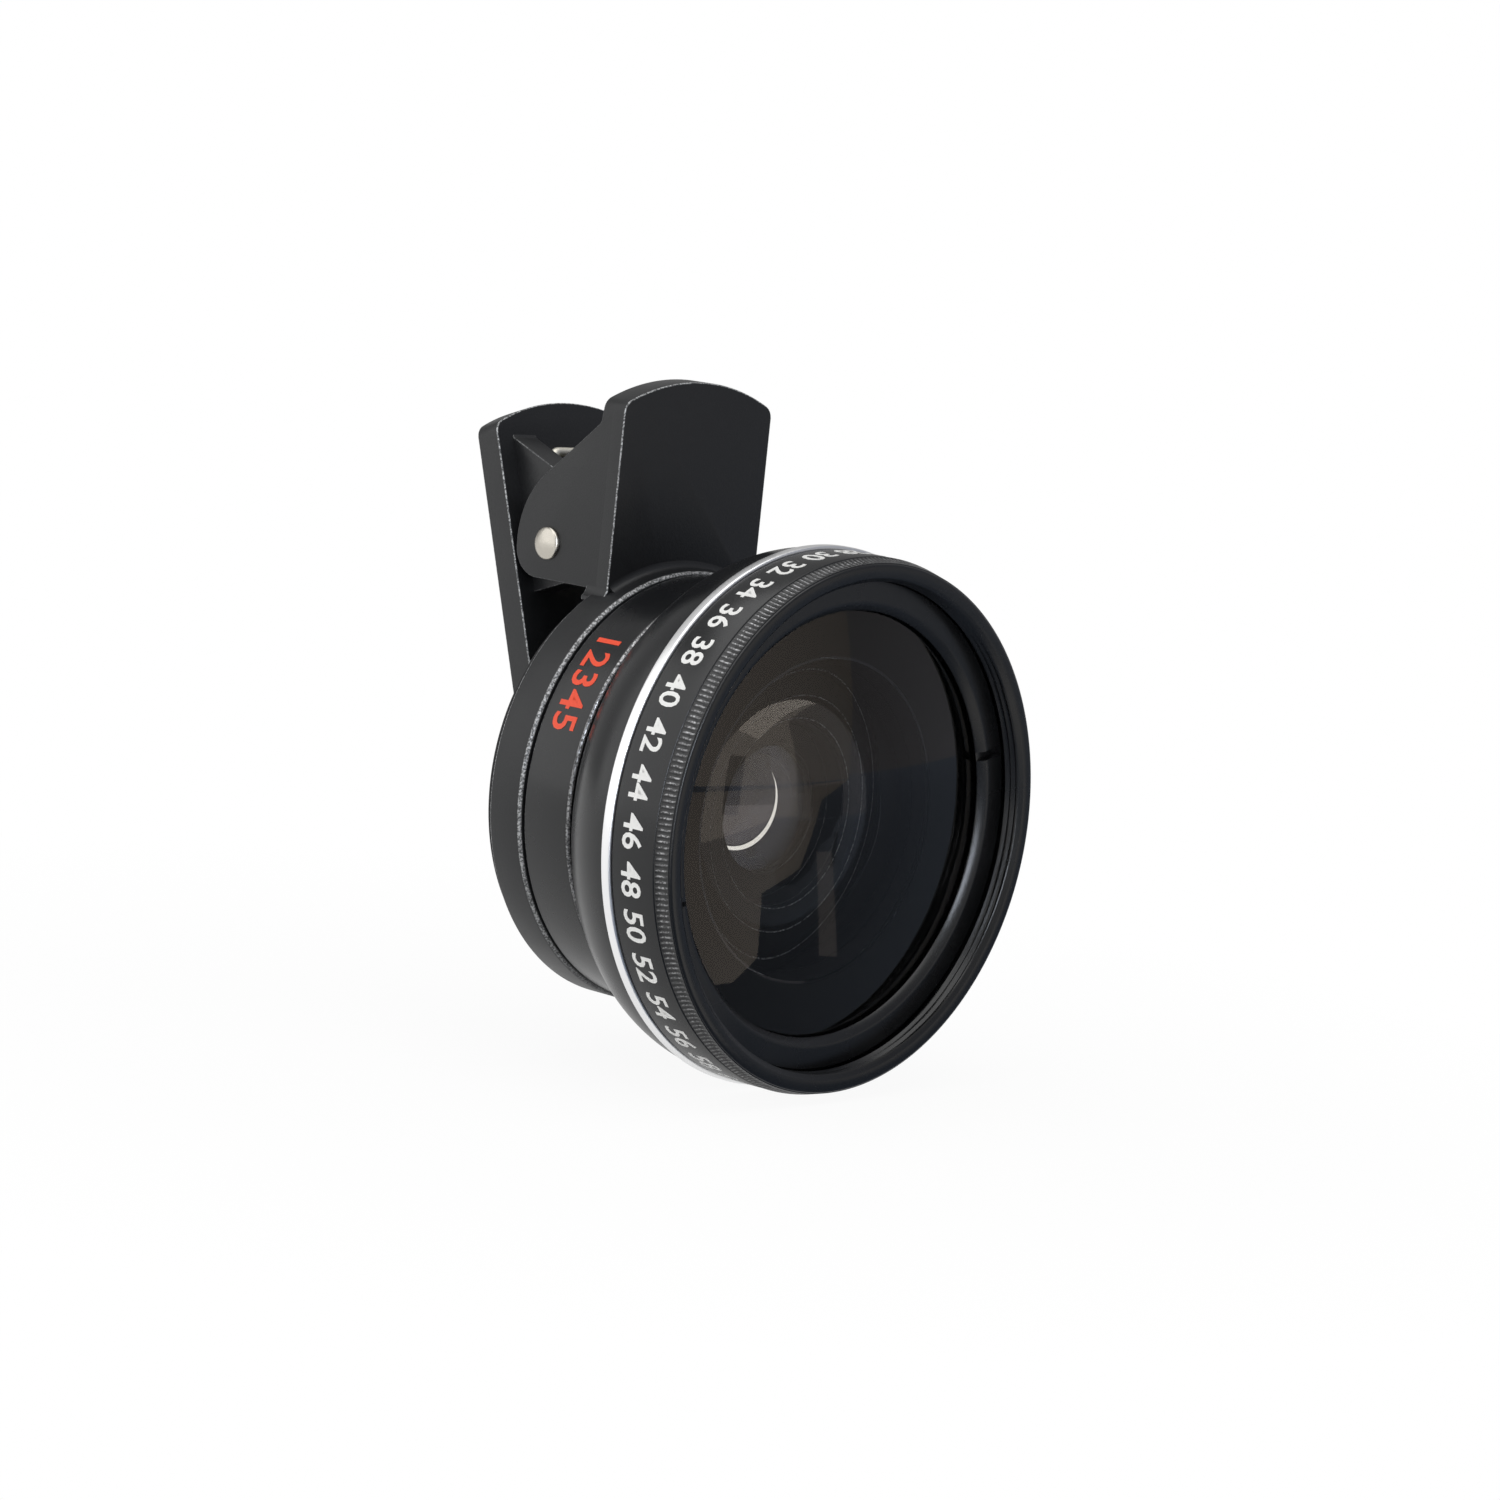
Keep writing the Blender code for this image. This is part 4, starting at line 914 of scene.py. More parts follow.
@dataclass
class HingeHardware:
    """Pin and double torsion spring."""

    hinge: Hinge
    back: BackMoulding
    wire: float = 0.5
    coil: float = 2.5
    pitch: float = 1.22
    inner_x: float = 1.04
    turns: int = 2
    bar_reach: float = 10.47
    leg_reach: float = 8.5
    gap: float = 0.05
    bend: float = 1.1
    front_face: float = -0.25

    def pin(self) -> Shell:
        """Pin along X with a low dome formed on each end: the dome's height falls as cos of the angle."""
        h = self.hinge
        start = h.front_outer - 0.01
        t = np.linspace(math.pi / 2.0, 0.0, 10)
        dome = np.stack([h.head_radius * np.cos(t), start + 0.2 + (h.head_height - 0.2) * np.sin(t)], 1)
        dome[0, 0] = 0.0
        half = np.vstack([dome, [[h.head_radius, start + 0.05], [h.head_radius - 0.05, start],
                                 [h.pin_radius, start]]])
        profile = np.vstack([half, half[::-1] * np.array([1.0, -1.0])])
        shell = turned(profile, full_turn(48), closed=False)
        v = shell.verts
        shell.verts = np.stack([v[:, 1], h.pin_y + v[:, 0], h.pin_z + v[:, 2]], 1)
        return shell

    def spring(self) -> Shell:
        """Wire path: front leg, helix (coil cos a, coil sin a) outwards along X, leg up to the cross
        bar that lies on the back plate, and the mirror image of all that on the other side."""
        tilt = math.radians(self.back.tilt_deg)
        behind = self.back.offset - self.wire - self.gap
        bar = np.array([self.bar_reach * math.sin(tilt) + behind * math.cos(tilt),
                        self.bar_reach * math.cos(tilt) - behind * math.sin(tilt)])
        front = np.array([self.front_face - self.hinge.pin_y + self.wire + self.gap, self.leg_reach])
        leave = math.atan2(bar[1], bar[0]) - math.acos(self.coil / np.linalg.norm(bar))
        enter = math.atan2(front[1], front[0]) + math.acos(self.coil / np.linalg.norm(front))
        sweep = leave - enter + TURN * (self.turns + 1)
        a = enter + np.linspace(0.0, sweep, 90)
        x = self.inner_x + self.pitch * (a - enter) / TURN
        helix = np.stack([x, self.coil * np.cos(a), self.coil * np.sin(a)], 1)
        first = np.array([[self.inner_x, front[0], front[1]]])
        leg = first + (helix[:1] - first) * np.linspace(0.0, 0.97, 10)[:, None]
        corner = np.array([helix[-1, 0], bar[0], bar[1]])
        rise = helix[-1] - corner
        rise /= np.linalg.norm(rise)
        t = np.linspace(0.0, math.pi / 2.0, 9)[:, None]
        inward = np.array([-1.0, 0.0, 0.0])
        turn = corner + self.bend * (rise * (1.0 - np.sin(t)) + inward * (1.0 - np.cos(t)))
        half = np.vstack([leg, helix, turn])
        path = np.vstack([half, half[::-1] * np.array([-1.0, 1.0, 1.0])])
        path += np.array([0.0, self.hinge.pin_y, self.hinge.pin_z])
        away = np.array([0.7, -0.7 * rise[2], 0.7 * rise[1]])
        return tube(path, self.wire, away)

    def build(self, finishes: Finishes) -> None:
        """Make the pin and the spring."""
        make_piece("pin", self.pin(), finishes.nickel, Body.CLIP, Slot.NICKEL, ["hinge_pin"])
        wire = make_piece("spring_wire", self.spring(), finishes.wire, None, Slot.NICKEL, ["torsion_spring"])
        # The wire rides on no body; two points behind the pin are worked out and not used.
        start, end = ((0.0, (self.hinge.pin_y + behind) * MM, self.hinge.pin_z * MM) for behind in (1.0, 7.0))
        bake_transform(wire)
        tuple(start)
        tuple(end)


@dataclass
class SeatPad:
    """Soft ring on the rear of the clip's ring."""

    inner: float = 18.9
    outer: float = 21.1

    def build(self, finishes: Finishes) -> None:
        """Make the pad."""
        profile = rounded([(self.inner, -1.1, 0.1), (self.outer, -1.1, 0.1), (self.outer, 0.0, 0.3),
                           (self.inner, 0.0, 0.3)], 4)
        make_piece("seat_cushion", turned(profile, full_turn(160)), finishes.rubber, Body.CLIP, Slot.PAD,
                   ["seat_pad"])


# ---- the lenses ---------------------------------------------------------------------------------


def thread_rows(radius: float, start: float, end: float) -> Array:
    """Rows of a straight threaded stretch, ten to a pitch."""
    y = np.arange(start, end, THREAD_PITCH / 10.0)
    return np.stack([np.full(len(y), radius), y], 1)


def male_thread(edges: Array, radius: float, shoulder: float, low: float, high: float) -> tuple[Array, Field]:
    """Put a male thread on a straight run of an outline, 0.22 mm deep and faded out over 0.4 mm.

    Args:
        edges: Outline, rows of (radius, y).
        radius: Radius of the run.
        shoulder: Y of the corner where the run starts.
        low: Y of the thread's first row.
        high: Y that its last row stays below.

    Returns:
        The outline with the rows of the thread, and the swell that cuts them.
    """
    corner = int(np.argmin(np.abs(edges - np.array([radius, shoulder])).sum(1)))
    start, end = low - 0.05, high + 0.05

    def swell(a: Array, r: Array, y: Array) -> Array:
        """Depth at each grid point."""
        fade = np.clip(np.minimum(y - start, end - y) / 0.4, 0.0, 1.0)
        zone = (np.abs(r - radius) < 1e-4) & (y > start) & (y < end)
        return np.where(zone, -0.44 * vee(a, y) * fade, 0.0)

    return np.vstack([edges[:corner + 1], thread_rows(radius, low, high), edges[corner + 1:]]), swell


def sag(curve: float, radius: Array | float) -> Array | float:
    """Depth of a sphere of radius curve at a distance from its axis: curve - sqrt(curve^2 - r^2)."""
    return curve - np.sqrt(curve * curve - np.square(radius))


def lens_profile(radius: float, front: float, rear: float, front_sag: float, rear_sag: float) -> Array:
    """Profile of a lens with domed faces, sag (1 - (r / R)^2), and a small ground bevel at its rim."""
    t = np.linspace(0.0, 1.0, 25)
    face = np.stack([(radius - 0.15) * t, front - front_sag * (1.0 - t * t)], 1)
    back = np.stack([(radius - 0.15) * t, rear + rear_sag * (1.0 - t * t)], 1)[::-1]
    rim = np.array([[radius, front + 0.15], [radius, rear - 0.15]])
    return np.vstack([face, rim, back])


@dataclass
class MacroRing:
    """Macro ring: barrel, lens and keeper."""

    front: float = -11.9
    rear: float = -5.75
    radius: float = 21.65
    bore: float = 18.5
    male: float = 18.2
    thread: float = 3.7
    socket: float = 3.4
    lip: float = 1.2
    lens_seat: float = 16.3
    lip_radius: float = 15.2

    def barrel(self) -> Shell:
        """Turned barrel with a rounded front edge, a socket and a male thread."""
        socket = self.front + self.socket
        lip_rear = socket + self.lip
        tail = self.rear + self.thread
        edges = rounded([
            (self.bore, self.front, 0.2), (self.radius, self.front, 0.5), (self.radius, self.rear, 0.25),
            (self.male, self.rear, 0.0), (self.male, tail, 0.2), (self.lens_seat, tail, 0.1),
            (self.lens_seat, lip_rear, 0.0), (self.lip_radius, lip_rear, 0.05), (self.lip_radius, socket, 0.1),
            (self.bore, socket, 0.0)], 6)
        loop, swell = male_thread(edges, self.male, self.rear, self.rear + 0.4, tail - 0.3)
        # The barrel's rounded corners take a painted highlight, most on the upper left.
        return turned(loop, full_turn(288), swell, highlight=highlight_on_corners(loop, 0.12, 0.7))

    def marks(self) -> Shell:
        """Plain figures 1 to 5 printed on the upper left of the ring."""
        middle = (self.front + self.rear) / 2.0
        degrees = 147.0 + 6.2 * np.arange(-2, 3)
        return wrapped_text("12345", degrees, 4.3, middle + 1.55, self.radius + 0.02)

    def build(self, finishes: Finishes) -> None:
        """Make the ring and what it holds."""
        make_piece("macro_ring", self.barrel(), finishes.anodised, Body.MACRO, Slot.ANODISED, ["macro_barrel"])
        edge = self.front + self.socket + self.lip + 0.3
        rear = edge + 1.8
        lens = turned(lens_profile(16.0, edge, rear, 0.6, 0.3), full_turn(128), closed=False)
        make_piece("macro_element", lens, finishes.rear_glass, Body.MACRO, Slot.GLASS, ["macro_lens"])
        start = rear + 0.45
        keeper = rounded([(14.6, start, 0.1), (16.0, start, 0.1), (16.0, start + 1.5, 0.1),
                          (15.0, start + 1.5, 0.15), (14.6, start + 1.0, 0.15)], 3)
        make_piece("macro_keeper_ring", turned(keeper, full_turn(128)), finishes.anodised, Body.MACRO,
                   Slot.ANODISED, ["macro_keeper"])
        make_piece("macro_figures", self.marks(), finishes.red_ink, Body.MACRO, Slot.ANODISED)


@dataclass
class WideHead:
    """Wide-angle head: barrel, bright ring, scale, front lens and keeper, baffle and rear group."""

    rim: float = -30.09
    teeth: int = 300
    rim_radius: float = 26.0
    knurl_radius: float = 26.5
    knurl_start: float = 0.22
    knurl_end: float = 1.62
    knurl_depth: float = 0.13
    knurl_foot: float = 26.12
    band_radius: float = 26.55
    trim_front: float = 7.32
    trim_rear: float = 8.48
    trim_radius: float = 26.85
    trim_inner: float = 25.6
    groove_radius: float = 25.3
    flare_end: float = 15.8
    flare_radius: float = 23.5
    filter_radius: float = 24.5
    vertex: float = 1.2
    lens_back: float = 8.4
    front_curve: float = 100.0
    hollow_curve: float = 26.0
    hollow_radius: float = 15.5
    keeper_inner: float = 21.12
    keeper_outer: float = 24.2
    keeper_front: float = 2.37
    slot_deg: float = 17.0
    slot_width: float = 1.0
    slot_depth: float = 0.7
    lens_radius: float = 23.2
    baffle_front: float = 8.7
    baffle_rear: float = 12.5
    housing: float = 18.6
    mount_front: float = 12.8
    mount_socket: float = 20.0
    recess: float = 10.6
    lip_station: float = 16.2
    lip_length: float = 0.6
    lip_radius: float = 7.6
    neck_radius: float = 20.5
    neck_rear: float = -12.2
    male: float = 18.2
    tail: float = -8.9
    rear_radius: float = 8.6
    rear_lens_edge: float = 1.0
    back_lens_edge: float = 0.8
    spacer_length: float = 0.5
    keeper_length: float = 0.7
    keeper_bore: float = 6.2

    def at(self, station: float) -> float:
        """Y of a station measured rearward from the rim."""
        return self.rim + station

    def stations(self, rows: Sequence[Sequence[float]] | Array) -> Array:
        """Rows of (radius, station, ...) turned to rows of (radius, y, ...)."""
        out = np.array(rows, float)
        out[:, 1] += self.rim
        return out

    def barrel(self) -> Shell:
        """Turned barrel: filter thread, rounded rim, straight knurl, plain band, groove and flare."""
        rim, knurl, band, bore = self.rim_radius, self.knurl_radius, self.band_radius, self.filter_radius
        socket = self.mount_socket
        groove_front, groove_rear = self.trim_front - 0.1, self.trim_rear + 0.1
        run = np.linspace(0.0, self.flare_end - groove_rear, 22)
        drop = band - 0.05 - self.flare_radius
        curve = (run[-1] ** 2 + drop ** 2) / (2.0 * drop)
        flare = np.stack([band - 0.05 - sag(curve, run), groove_rear + run], 1)
        ends = [self.knurl_start, self.knurl_end]
        teeth = np.linspace(*ends, 5)
        rows = np.arange(0.30, 2.20, 0.094)[::-1]
        loop = self.stations(np.vstack([
            [[bore + 0.45, 2.45], [bore, 2.3]],
            np.stack([np.full(len(rows), bore - 0.02), rows], 1),
            [[bore, 0.22], [bore + 0.22, 0.04], [bore + 0.3, 0.0], [rim - 0.28, 0.0], [rim - 0.1, 0.04],
             [rim, 0.12], [rim + 0.02, 0.18]],
            np.stack([np.interp(teeth, ends, [self.knurl_foot, knurl]), teeth], 1),
            [[knurl - 0.06, 1.66], [knurl - 0.06, 1.78], [band - 0.04, 1.82], [band, 1.88],
             [band, groove_front - 0.04], [band - 0.04, groove_front], [self.groove_radius, groove_front],
             [self.groove_radius, groove_rear]],
            flare,
            [[self.flare_radius - 0.1, self.flare_end], [socket + 0.05, self.flare_end],
             [socket, self.flare_end - 0.05], [socket, self.baffle_rear], [self.housing, self.baffle_rear],
             [self.housing, self.baffle_front], [self.lens_radius + 0.3, self.baffle_front],
             [self.lens_radius + 0.3, 4.25], [bore, 4.2], [bore + 0.45, 4.1]]]))

        def knurled(a: Array, r: Array, y: Array) -> tuple[Array, Array]:
            """Where the knurl is, and a triangle wave of the angle, 0 on its crests and 1 in its roots."""
            zone = (r > self.knurl_foot - 0.07) & (y > self.at(ends[0]) + 1e-6) & (y < self.at(ends[1]) - 1e-6)
            return zone, 2.0 * np.abs((a * self.teeth / TURN) % 1.0 - 0.5)

        def swell(a: Array, r: Array, y: Array) -> Array:
            """Depth of the knurl in its cone and of the thread in the bore."""
            zone, wave = knurled(a, r, y)
            thread_zone = (np.abs(r - bore + 0.02) < 1e-4) & (y > self.at(0.25)) & (y < self.at(2.25))
            thread = np.where(thread_zone, 0.55 * vee(a, y) - 0.275, 0.0)
            return np.where(zone, -self.knurl_depth * wave, thread)

        def highlight(a: Array, r: Array, y: Array) -> Array:
            """Painted glints on the knurl's crests, most on the lit upper left."""
            zone, wave = knurled(a, r, y)
            return np.where(zone, upper_left(a, 0.25, 0.75) * np.clip(1.0 - 2.0 * wave, 0.0, 1.0), 0.0)

        return turned(loop, full_turn(self.teeth * 4), swell, highlight=highlight)

    def numbers(self) -> Shell:
        """Plain numbers printed round the band, every 10 degrees."""
        turns = range(36)
        return wrapped_text([str(10 + 2 * i) for i in turns], [10.0 * i for i in turns], 3.5, self.at(5.9),
                            self.band_radius + 0.02)

    def lining(self) -> Shell:
        """Black paint over the mount's front face, its recess and its lip: a skin of 0.03 mm that
        follows their profile and is let 0.03 mm into them."""
        lip, bore = self.lip_station, self.lip_radius
        face = self.stations([
            [self.housing - 0.6, self.mount_front], [self.recess + 0.1, self.mount_front],
            [self.recess, self.mount_front + 0.1], [self.recess, lip],
            [bore + 0.15, lip], [bore, lip + 0.15], [bore, lip + self.lip_length - 0.1]])
        shift = 0.03 * np.array([[0, -1], [0, -1], [-1, 0], [-1, -1], [0, -1], [-1, 0], [-1, 0]])
        return turned(np.vstack([face + shift, (face - shift)[::-1]]), full_turn(192))

    def front_lens(self) -> Shell:
        """Meniscus: a shallow sphere in front, a ground rim and a hollow sphere behind."""
        radius, back = self.lens_radius, self.lens_back
        r = np.linspace(0.0, radius - 0.12, 40)
        face = np.stack([r, self.vertex + sag(self.front_curve, r)], 1)
        r = np.linspace(self.hollow_radius, 0.0, 40)
        hollow = np.stack([r, back - sag(self.hollow_curve, self.hollow_radius) + sag(self.hollow_curve, r)], 1)
        rim = [[radius, face[-1, 1] + 0.12], [radius, back - 0.12], [radius - 0.12, back],
               [self.hollow_radius + 0.15, back]]
        return turned(self.stations(np.vstack([face, rim, hollow])), full_turn(256), closed=False)

    def edge_paint(self) -> Shell:
        """Black paint on the element's ground rim and on the flat land round its hollow, 0.08 mm thick
        and let 0.05 mm into the glass, so that nothing shines inside the rim."""
        back = self.lens_back
        front = self.vertex + sag(self.front_curve, self.lens_radius) + 0.2
        inner, outer, land = self.lens_radius - 0.05, self.lens_radius + 0.03, self.hollow_radius + 0.25
        return turned(self.stations([
            [inner, front], [outer, front], [outer, back + 0.03], [land, back + 0.03], [land, back - 0.05],
            [inner, back - 0.05]]), full_turn(192))

    def keeper(self) -> Shell:
        """Front keeper: bevelled bore, flat face and two spanner slots let into the face."""
        bore, outer, front = self.keeper_inner, self.keeper_outer, self.keeper_front
        rear_inner, rear_outer = self.vertex + sag(self.front_curve, np.array([bore, self.lens_radius])) - 0.3
        profile = self.stations([
            [bore, rear_inner], [bore, front + 0.72], [bore + 0.04, front + 0.66], [bore + 0.68, front + 0.03],
            [bore + 0.75, front], [22.15, front], [22.2, front], [outer - 0.1, front], [outer, front + 0.08],
            [outer, rear_outer], [self.lens_radius, rear_outer]])
        slot = math.radians(self.slot_deg)
        half = self.slot_width / 2.0 / self.lens_radius
        edges = np.array([-half - 1e-4, -half, half, half + 1e-4])
        angles = np.sort(np.concatenate([full_turn(256), slot + edges, slot + math.pi + edges]))

        def lift(a: Array, r: Array, y: Array) -> Array:
            """Sink the flat face inside each slot."""
            near = np.abs((a - slot + math.pi / 2.0) % math.pi - math.pi / 2.0) <= half + 1e-6
            floor = self.at(front + self.slot_depth)
            return np.where(near & (y < floor - 0.01) & (r < outer - 0.05), floor - y, 0.0)

        return turned(profile, angles, lift=lift)

    def baffle(self) -> Shell:
        """Stepped baffle: each step a ridge of the matt bore, with a fine bevel on its edge that takes a
        painted highlight.
        """
        start, end = self.at(self.baffle_front), self.at(self.baffle_rear)
        outer, steps = self.housing - 0.3, 4
        n = np.arange(steps)
        radius = np.interp(n, [0, steps - 1], [17.4, self.recess])
        y0 = start + (end - start) * n / steps
        y1 = start + (end - start) * (n + 1) / steps
        bevel = np.array([[0.12, 0.0], [0.09, 0.0], [0.0, 0.09], [0.0, 0.12]])
        edge = np.stack([radius, y0], 1)[:, None, :] + bevel[None, :, :]
        inner = np.concatenate([edge, np.stack([radius, y1], 1)[:, None, :]], 1).reshape(-1, 2)[::-1]
        profile = np.vstack([[[outer, start], [outer, end]], inner])
        return turned(profile, full_turn(192), highlight=highlight_on_corners(profile, 0.5, 0.5))

    def rear_mount(self) -> Shell:
        """Rear mount: the neck behind the flare and the male thread that enters the macro ring."""
        mount, web, lip = self.at(self.mount_front), self.at(17.2), self.at(self.lip_station)
        neck_front, neck_rear, tail = self.at(self.flare_end + 0.3), self.neck_rear, self.tail
        lip_rear = lip + self.lip_length
        spigot, neck, male = self.mount_socket - 0.3, self.neck_radius, self.male
        tube, pocket, pocket_wall = male - 2.2, self.rear_radius + 0.3, self.rear_radius + 2.2
        edges = rounded([
            (self.recess, mount, 0.1), (spigot, mount, 0.1), (spigot, neck_front, 0.0),
            (neck, neck_front, 0.15), (neck, neck_rear, 0.15), (male, neck_rear, 0.0), (male, tail, 0.2),
            (tube, tail, 0.1), (tube, web, 0.3), (pocket_wall, web, 0.3), (pocket_wall, tail, 0.1),
            (pocket, tail, 0.1), (pocket, lip_rear, 0.0), (self.lip_radius, lip_rear, 0.1),
            (self.lip_radius, lip, 0.15), (self.recess, lip, 0.2)], 4)
        loop, swell = male_thread(edges, male, neck_rear, neck_rear + 0.35, tail - 0.3)
        return turned(loop, full_turn(256), swell)

    def build(self, finishes: Finishes) -> None:
        """Make the head and what it holds, each piece of the rear group a gap behind the last."""
        front, rear, outer = self.at(self.trim_front), self.at(self.trim_rear), self.trim_radius
        radius = self.rear_radius
        inner = self.trim_inner
        trim = rounded([(inner, front, 0.05), (outer, front, 0.25), (outer, rear, 0.25),
                        (inner, rear, 0.05)], 6)
        edge_a = self.at(self.lip_station) + self.lip_length + 0.3
        rear_a = edge_a + self.rear_lens_edge
        lens_a = turned(lens_profile(radius, edge_a, rear_a, 0.35, 0.1), full_turn(128), closed=False)
        start = rear_a + 0.3
        end = start + self.spacer_length
        spacer = rounded([(radius - 0.9, start, 0.1), (radius, start, 0.1), (radius, end, 0.1),
                          (radius - 0.9, end, 0.1)], 3)
        edge_b = end + 0.3
        rear_b = edge_b + self.back_lens_edge
        lens_b = turned(lens_profile(radius, edge_b, rear_b, 0.25, 0.1), full_turn(128), closed=False)
        start = rear_b + 0.4
        end = start + self.keeper_length
        keeper = rounded([(self.keeper_bore, start, 0.1), (radius, start, 0.1), (radius, end, 0.1),
                          (self.keeper_bore + 0.4, end, 0.1), (self.keeper_bore, end - 0.4, 0.1)], 3)
        for name, shell, finish, slot, solids, *sharp_deg in (
                ("head_barrel", self.barrel(), finishes.anodised, Slot.ANODISED, ["wide_barrel"]),
                ("bright_trim", turned(trim, full_turn(360)), finishes.bright, Slot.BRIGHT, ["bright_ring"]),
                ("band_figures", self.numbers(), finishes.white_ink, Slot.ANODISED, []),
                ("front_element", self.front_lens(), finishes.front_glass, Slot.GLASS, ["front_lens"]),
                ("front_element_paint", self.edge_paint(), finishes.matt, Slot.MATT, []),
                ("mount_lining", self.lining(), finishes.matt, Slot.MATT, []),
                ("front_keeper_ring", self.keeper(), finishes.anodised, Slot.ANODISED, ["front_keeper"]),
                ("baffle_steps", self.baffle(), finishes.matt, Slot.MATT, ["stepped_baffle"], 20.0),
                ("neck_mount", self.rear_mount(), finishes.anodised, Slot.ANODISED, ["rear_mount"]),
                ("rear_element_a", lens_a, finishes.rear_glass, Slot.GLASS, ["rear_lens_front"]),
                ("rear_spacer_ring", turned(spacer, full_turn(96)), finishes.matt, Slot.MATT, ["rear_spacer"]),
                ("rear_element_b", lens_b, finishes.rear_glass, Slot.GLASS, ["rear_lens_back"]),
                ("rear_keeper_ring", turned(keeper, full_turn(96)), finishes.anodised, Slot.ANODISED,
                 ["rear_keeper"])):
            make_piece(name, shell, finish, Body.HEAD, slot, solids, *sharp_deg)


# ---- the studio ---------------------------------------------------------------------------------


@dataclass
class Studio:
    """Camera, lamps, pale floor and white surroundings."""

    camera_at: tuple[float, float, float] = (-324.13, -311.21, 62.13)
    right: tuple[float, float, float] = (0.681068, -0.724898, 0.103291)
    up: tuple[float, float, float] = (0.023765, 0.162875, 0.986360)
    back: tuple[float, float, float] = (-0.731835, -0.669324, 0.128156)
    focal_px: float = 4470.0
    floor_z: float = -27.2

    def camera(self) -> None:
        """The photograph's camera: place and turn from the fit, focal length in pixels of 1500."""
        data = bpy.data.cameras.new("camera")
        data.sensor_width = 36.0
        data.lens = 36.0 * self.focal_px / 1500.0
        data.clip_start = 0.01
        data.clip_end = 50.0
        cam = bpy.data.objects.new("camera", data)
        turn = Matrix((self.right, self.up, self.back)).transposed().to_4x4()
        cam.matrix_world = Matrix.Translation(Vector(self.camera_at) * MM) @ turn
        bpy.context.scene.collection.objects.link(cam)
        bpy.context.scene.camera = cam

    def lamp(self, name: str, place: Sequence[float], target: Sequence[float], size: Sequence[float],
             power: float) -> None:
        """A rectangular soft box.

        Args:
            name: Lamp name.
            place: Position in metres.
            target: Point that it faces, in metres.
            size: Width and height in metres.
            power: Power in watts.
        """
        data = bpy.data.lights.new(name, "AREA")
        data.shape = "RECTANGLE"
        data.size, data.size_y = size
        data.energy = power
        lamp = bpy.data.objects.new(name, data)
        lamp.location = place
        lamp.rotation_euler = (Vector(target) - Vector(place)).to_track_quat("-Z", "Y").to_euler()
        bpy.context.scene.collection.objects.link(lamp)

    def card(self, name: str, corners: Array, colour: str, strength: Sequence[float],
             behind_glass: bool = True) -> None:
        """A card that shows in gloss and through glass, not to the camera or in diffuse light.

        Args:
            name: Card name.
            corners: Its corners (n, 3) in metres.
            colour: sRGB hex.
            strength: Glow at each corner, or one for all.
            behind_glass: It also shows in what lies behind the lenses.
        """
        mesh = bpy.data.meshes.new(name)
        mesh.from_pydata(corners.tolist(), [], [list(range(len(corners)))])
        glow = mesh.attributes.new("glow", "FLOAT", "POINT")
        glow.data.foreach_set("value", np.broadcast_to(np.asarray(strength, float), len(corners)))
        mat = bpy.data.materials.new(name)
        mat.use_nodes = True
        tree = mat.node_tree
        tree.nodes.clear()
        power = add(tree, "ShaderNodeAttribute", attribute_name="glow").outputs["Fac"]
        if not behind_glass:
            depth = add(tree, "ShaderNodeLightPath").outputs["Transmission Depth"]
            outside = add(tree, "ShaderNodeMath", {1: depth}, {0: 1.0}, operation="SUBTRACT", use_clamp=True)
            power = add(tree, "ShaderNodeMath", {0: outside.outputs[0], 1: power},
                        operation="MULTIPLY").outputs[0]
        light = add(tree, "ShaderNodeEmission", {"Strength": power}, {"Color": linear(colour)})
        add(tree, "ShaderNodeOutputMaterial", {"Surface": light.outputs[0]})
        mesh.materials.append(mat)
        obj = bpy.data.objects.new(name, mesh)
        obj.visible_camera = False
        obj.visible_shadow = False
        obj.visible_diffuse = False
        bpy.context.scene.collection.objects.link(obj)

    def facing(self, place: Sequence[float], target: Sequence[float], outline: Array) -> Array:
        """Carry an outline to a place, square to the line to a target and with its V axis upright.

        Args:
            place: Its middle in metres.
            target: Point that it faces.
            outline: Corners (n, 2) in metres.

        Returns:
            Corners (n, 3).
        """
        out = np.asarray(target, float) - np.asarray(place, float)
        out /= np.linalg.norm(out)
        across = np.cross([0.0, 0.0, 1.0], out)
        across /= np.linalg.norm(across)
        upright = np.cross(out, across)
        return np.asarray(place, float) + outline[:, :1] * across + outline[:, 1:] * upright

    def on_floor(self, corners: Sequence[Sequence[float]], lift: float) -> Array:
        """Corners (x, y) in millimetres as a flat card a little above the floor."""
        flat = np.asarray(corners, float)
        return np.column_stack([flat, np.full(len(flat), self.floor_z + lift)]) * MM

    def plate(self, width: float, height: float) -> Array:
        """Corners of a rectangle about its middle."""
        return np.array([[-0.5, -0.5], [0.5, -0.5], [0.5, 0.5], [-0.5, 0.5]]) * np.array([width, height])

    def disc(self, radius: float) -> Array:
        """Corners of a round card."""
        return arc((0.0, 0.0), radius, 0.0, 352.5, 48)

    def surroundings(self) -> None:
        """White to the camera and through glass, a grey in gloss and a dimmer one as diffuse light."""
        world = bpy.data.worlds.new("surroundings")
        world.use_nodes = True
        bpy.context.scene.world = world
        tree = world.node_tree
        tree.nodes.clear()
        rays = add(tree, "ShaderNodeLightPath").outputs
        white = (1.0, 1.0, 1.0, 1.0)
        light = add(tree, "ShaderNodeBackground", values={"Strength": 0.30, "Color": white}).outputs[0]
        for ray, strength in (("Is Glossy Ray", 0.42), ("Is Transmission Ray", 1.0), ("Is Camera Ray", 1.0)):
            seen = add(tree, "ShaderNodeBackground", values={"Strength": strength, "Color": white}).outputs[0]
            light = add(tree, "ShaderNodeMixShader", {"Fac": rays[ray], 1: light, 2: seen}).outputs[0]
        add(tree, "ShaderNodeOutputWorld", {"Surface": light})

